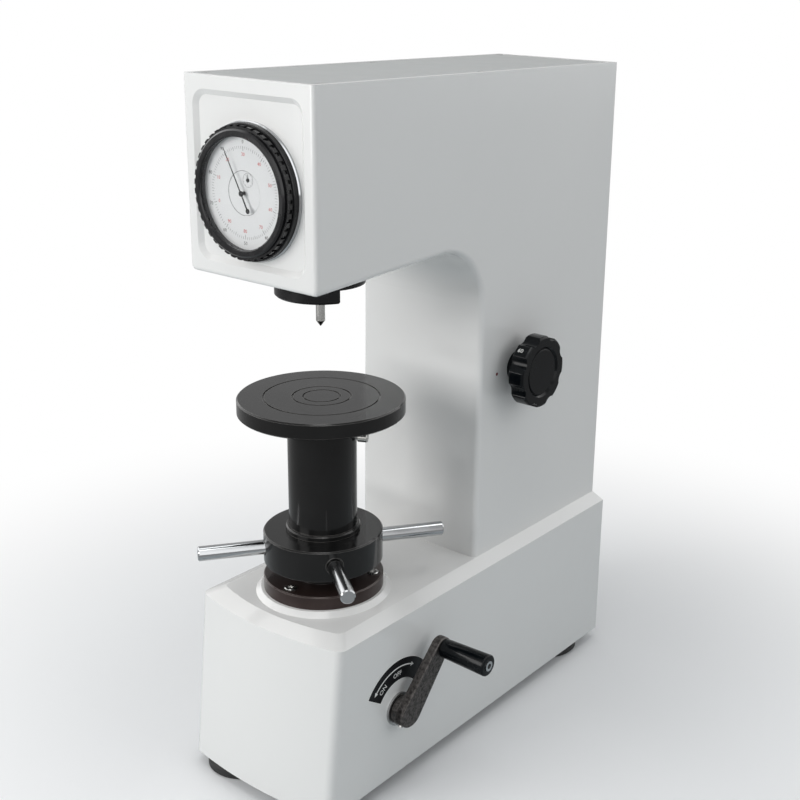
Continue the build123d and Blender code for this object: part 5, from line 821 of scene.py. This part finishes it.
crank_y, crank_z = place(0, CRANK_Y, CRANK_Z).yz
arm_low, arm_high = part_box("crank_arm")
grip_low, grip_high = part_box("crank_grip")
grip_y, grip_z = (grip_low.y + grip_high.y) / 2, (grip_low.z + grip_high.z) / 2
reach = Vector((0, grip_y - crank_y, grip_z - crank_z))
paddle_front = arm_high.x - ARM_LEAN

paddle = bmesh.new()
for spot, radius in ((Vector((0, 0, 0)), HUB_RADIUS), (reach, TIP_RADIUS)):
    for x in (0, -PADDLE_THICKNESS):
        ring = Matrix.Translation(spot + x * X_AXIS) @ along_x
        bmesh.ops.create_circle(paddle, segments=64, radius=radius, matrix=ring)
bmesh.ops.convex_hull(paddle, input=paddle.verts)
bmesh.ops.dissolve_limit(paddle, angle_limit=FLAT, verts=paddle.verts, edges=paddle.edges)
soften(paddle, paddle.edges, PADDLE_EDGE, segments=3)
lean = Matrix.Shear("YZ", 4, (0, 0))
lean[0][1] = ARM_LEAN * reach.y / reach.length_squared
lean[0][2] = ARM_LEAN * reach.z / reach.length_squared
hub_front = Matrix.Translation((paddle_front, crank_y, crank_z))
bmesh.ops.transform(paddle, matrix=hub_front @ lean, verts=paddle.verts)

boss_depth = paddle_front - arm_low.x - BOSS_GAP
boss_middle = Matrix.Translation((arm_low.x + boss_depth / 2, crank_y, crank_z))
boss = bar(paddle, boss_middle @ along_x, HUB_RADIUS, boss_depth, segments=64)
soften(paddle, edges_of(boss), BOSS_EDGE, segments=2)
arm = finish_piece("crank_paddle", paddle, hammer, "crank")
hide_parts("crank_arm")
print("paddle length in mm:", round(reach.length * 1000, 1))

# %% The hole for the taper pin that holds the crank on its shaft: a black disc set into the boss, painted shade for the dark inside of the hole
PIN_TURN = radians(172)
PIN_RADIUS, PIN_DEPTH, PIN_SINK, PIN_FROM_BACK = mm(1.6), mm(1.1), mm(0.5), mm(3.6)

pin_hole_shade = bmesh.new()
hole_out = Vector((0, cos(PIN_TURN), sin(PIN_TURN)))
hole_spot = Vector((arm_low.x + PIN_FROM_BACK, crank_y, crank_z)) + hole_out * (HUB_RADIUS - PIN_SINK)
hole_aim = Z_AXIS.rotation_difference(hole_out).to_matrix().to_4x4()
bar(pin_hole_shade, Matrix.Translation(hole_spot) @ hole_aim, PIN_RADIUS, PIN_DEPTH, segments=20)
finish_piece("crank_pin_shade", pin_hole_shade, black_print_and_shade, "crank")

# %% [markdown]
# The grip is moulded and nearly straight: a long cone with a soft end, a little
# thicker where the palm sits.

# %% The grip
GRIP_BACK_RADIUS, GRIP_END_RADIUS, GRIP_EDGE = mm(8.6), mm(9.9), mm(1.6)

grip = bmesh.new()
grip_length = grip_high.x - grip_low.x
grip_middle = Matrix.Translation(((grip_low.x + grip_high.x) / 2, grip_y, grip_z))
bar(grip, grip_middle @ along_x, GRIP_BACK_RADIUS, grip_length, segments=64, end_radius=GRIP_END_RADIUS)
soften(grip, grip.edges, GRIP_EDGE, segments=4)
for face in grip.faces:
    face.smooth = True
handle = finish_piece("grip_handle", grip, phenolic, "grip")
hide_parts("crank_grip")
print("grip length in mm:", round(grip_length * 1000, 1))

# %% [markdown]
# ### The selector's marks
#
# A red dot on the column marks the load in use, and the loads themselves stand in
# white on the knob's rim.  The middle of the knob's face is a smooth raised disc.

# %% The selector's index dot
DOT_PLACE = (71.5, 160.4, 353.2)
DOT_RADIUS, DOT_DEPTH = mm(1.6), mm(0.16)

dot = bmesh.new()
bar(dot, Matrix.Translation(place(*DOT_PLACE)) @ along_x, DOT_RADIUS, DOT_DEPTH, segments=24)
dot_paint = Finish("index_red", (0.16, 0.008, 0.012), 0.35, coat=0.4, coat_roughness=0.1)
dot_paint.vary("Roughness", dot_paint.effect(smudge, Scale=200.0, Amount=1.0), 0.3, 0.5)
finish_piece("index_dot", dot, dot_paint, "stand")

# %% The loads and the smooth disc on the knob
LOADS_X = 93.0
LOAD_HEIGHT, LOAD_DEPTH, LOAD_SINK = mm(4.2), mm(0.36), mm(0.10)
DISC_RADIUS, DISC_DEPTH, DISC_INSET, DISC_EDGE = mm(22.0), mm(2.6), mm(1.0), mm(1.0)

knob_low, knob_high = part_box("selector_knob")
knob_y, knob_z = (knob_low.y + knob_high.y) / 2, (knob_low.z + knob_high.z) / 2
knob_radius = (knob_high.z - knob_low.z) / 2
loads = bmesh.new()
for words, degrees in (("60", 135.0), ("100", 0.0), ("150", 270.0)):
    angle = radians(degrees)
    out = Vector((0, cos(angle), sin(angle)))
    turn = Matrix((X_AXIS, out.cross(X_AXIS), out)).transposed().to_4x4()
    spot = Vector((place(LOADS_X, 0, 0).x, knob_y, knob_z)) + out * (knob_radius - LOAD_SINK)
    letters(loads, words, LOAD_HEIGHT, LOAD_DEPTH, Matrix.Translation(spot) @ turn)
finish_piece("knob_figures", loads, white_ink, "selector")
disc = bmesh.new()
disc_middle = Matrix.Translation((knob_high.x - DISC_INSET - DISC_DEPTH / 2, knob_y, knob_z))
bar(disc, disc_middle @ along_x, DISC_RADIUS, DISC_DEPTH, segments=96)
soften(disc, disc.edges, DISC_EDGE, segments=4)
for face in disc.faces:
    face.smooth = len(face.verts) <= 4
finish_piece("knob_face_disc", disc, phenolic, "selector")
print("knob rim radius in mm:", round(knob_radius * 1000, 2))

# %% [markdown]
# ### The thread of the elevating screw
#
# When the table is high, the screw shows under the guard tube.  Its thread is one
# trapezoid section carried round the screw while it climbs, and the turn stops short
# at the keyway behind.  That single turn is then copied up the whole screw, one pitch
# at a time, over a plain round core.

# %% The elevating screw
CORE_RADIUS, CREST_RADIUS, ROOT_SINK = mm(16.0), mm(18.9), mm(0.4)
THREAD_PITCH, THREAD_ROOT, THREAD_CREST = mm(5.0), mm(3.8), mm(1.5)
THREAD_FOOT, THREAD_ENDS, CORE_SHORT = mm(6.0), mm(14.0), mm(0.5)
KEYWAY_HALF_WIDTH = mm(3.0)
TURN_STEPS = 24

screw_low, screw_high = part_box("elevating_screw")
screw_length = screw_high.z - screw_low.z
keyway_half = asin(KEYWAY_HALF_WIDTH / CORE_RADIUS)
turn_sweep = FULL_TURN - 2 * keyway_half
climb = THREAD_PITCH * turn_sweep / FULL_TURN / TURN_STEPS

thread = bmesh.new()
flank_size = Matrix.Diagonal((CREST_RADIUS - CORE_RADIUS + ROOT_SINK, THREAD_ROOT, 1, 1))
flank = open_rectangle(thread, upended @ flank_size)
for vert in flank:
    if vert.co.x > 0:
        vert.co.z *= THREAD_CREST / THREAD_ROOT
screw_foot = Vector((axis_x, axis_y, screw_low.z + THREAD_FOOT))
to_keyway = Matrix.Translation(screw_foot) @ Matrix.Rotation(pi / 2 + keyway_half, 4, "Z")
to_crest = Matrix.Translation(((CORE_RADIUS + CREST_RADIUS - ROOT_SINK) / 2, 0, 0))
bmesh.ops.transform(thread, matrix=to_keyway @ to_crest, verts=flank)
bmesh.ops.spin(
    thread, geom=flank + edges_of(flank), cent=screw_foot, axis=Z_AXIS, dvec=(0, 0, climb),
    angle=turn_sweep, steps=TURN_STEPS,
)
close_ends(thread, sides=4)
one_turn = list(thread.verts) + list(thread.edges) + list(thread.faces)
thread_turns = int((screw_length - THREAD_ENDS) / THREAD_PITCH)
for i in range(1, thread_turns):
    copy = bmesh.ops.duplicate(thread, geom=one_turn)
    copied = [part for part in copy["geom"] if isinstance(part, bmesh.types.BMVert)]
    bmesh.ops.translate(thread, verts=copied, vec=(0, 0, i * THREAD_PITCH))
core_depth = screw_length - CORE_SHORT
core_middle = Matrix.Translation((axis_x, axis_y, screw_low.z + core_depth / 2))
bar(thread, core_middle, CORE_RADIUS, core_depth, segments=48)
threaded = finish_piece("screw_thread", thread, steel, "table")
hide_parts("elevating_screw")
print("thread turns:", thread_turns)

# %% [markdown]
# ### The spring on the spindle
#
# The load pushes the spindle up by less than a millimetre, and the spring over its
# collar is pressed together by as much.  A stiff copy of the spring would run into the
# bridge above it; this one is built at the solid model's height, rides with the spindle
# and is given a mesh of its own.

# %% The spindle's spring
WIRE_RADIUS, WIRE_SIDES = mm(1.0), 10
COIL_TURNS, TURN_PARTS = 4, 32

spring_low, spring_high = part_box("spindle_spring")
spring_height = spring_high.z - spring_low.z
coil_radius = (spring_high.x - spring_low.x) / 2 - WIRE_RADIUS
coil_foot = Vector((axis_x, axis_y, spring_low.z + WIRE_RADIUS))
coil_climb = (spring_height - 2 * WIRE_RADIUS) / (COIL_TURNS * TURN_PARTS)
coil = bmesh.new()
wire_start = Matrix.Translation(coil_foot + coil_radius * X_AXIS) @ upended
wire = bmesh.ops.create_circle(coil, segments=WIRE_SIDES, radius=WIRE_RADIUS, matrix=wire_start)["verts"]
bmesh.ops.spin(
    coil, geom=wire + edges_of(wire), cent=coil_foot, axis=Z_AXIS, dvec=(0, 0, coil_climb),
    angle=FULL_TURN * COIL_TURNS, steps=COIL_TURNS * TURN_PARTS,
)
close_ends(coil, sides=WIRE_SIDES)
for face in coil.faces:
    face.smooth = len(face.verts) == 4
spring = finish_piece("spring_coil", coil, plated, "spindle_group")
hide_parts("spindle_spring")
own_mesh(spring)
print("spring height in mm:", round(spring_height * 1000, 2))

# %% [markdown]
# The floor is matt.  The camera sees it pale near the machine, where the shadow falls,
# and pure white farther off, like the paper of a cut-out picture.  Rays that pass the
# crystal find the same, and so do rays from a shiny surface, only dimmer, so that
# black paint stays black.  All other rays find a darker grey near and far, which keeps
# the light thrown up at the base low.

# %% Floor finish
FLOOR_GREY, FLOOR_PAPER = (0.48, 0.52, 0.54), (0.84, 0.85, 0.86)
FADE_START, FADE_END = 0.26, 0.85  # metres from the middle of the machine
FLOOR_SHINE = 0.40

floor_paint = Finish("floor_paint", FLOOR_GREY, 0.6, glint=0.2)
floor_tree = floor_paint.tree
floor_path = floor_tree.nodes.new("ShaderNodeLightPath").outputs
floor_paint.tint(floor_path["Is Camera Ray"], FLOOR_PAPER)
floor_far = floor_tree.nodes.new("ShaderNodeVectorMath")
floor_far.operation = "LENGTH"
feed(floor_tree, floor_far.inputs[0], floor_paint.where)
floor_fade = ramp(floor_tree, floor_far.outputs["Value"], 0.0, 1.0, FADE_START, FADE_END, smooth=True)
floor_shows = any_of(
    floor_tree, floor_path["Is Camera Ray"], floor_path["Is Glossy Ray"], floor_path["Is Transmission Ray"]
)
floor_mask = calculate(floor_tree, "MULTIPLY", floor_fade, floor_shows)
floor_white = floor_tree.nodes.new("ShaderNodeEmission")
floor_shine = ramp(floor_tree, floor_path["Is Glossy Ray"], 1.0, FLOOR_SHINE)
feed(floor_tree, floor_white.inputs["Strength"], floor_shine)
floor_matt = floor_paint.shader.outputs["BSDF"]
mix_shaders(floor_tree, floor_mask, floor_matt, floor_white.outputs["Emission"], floor_paint.surface)
floor_mesh.materials.append(floor_paint.material)
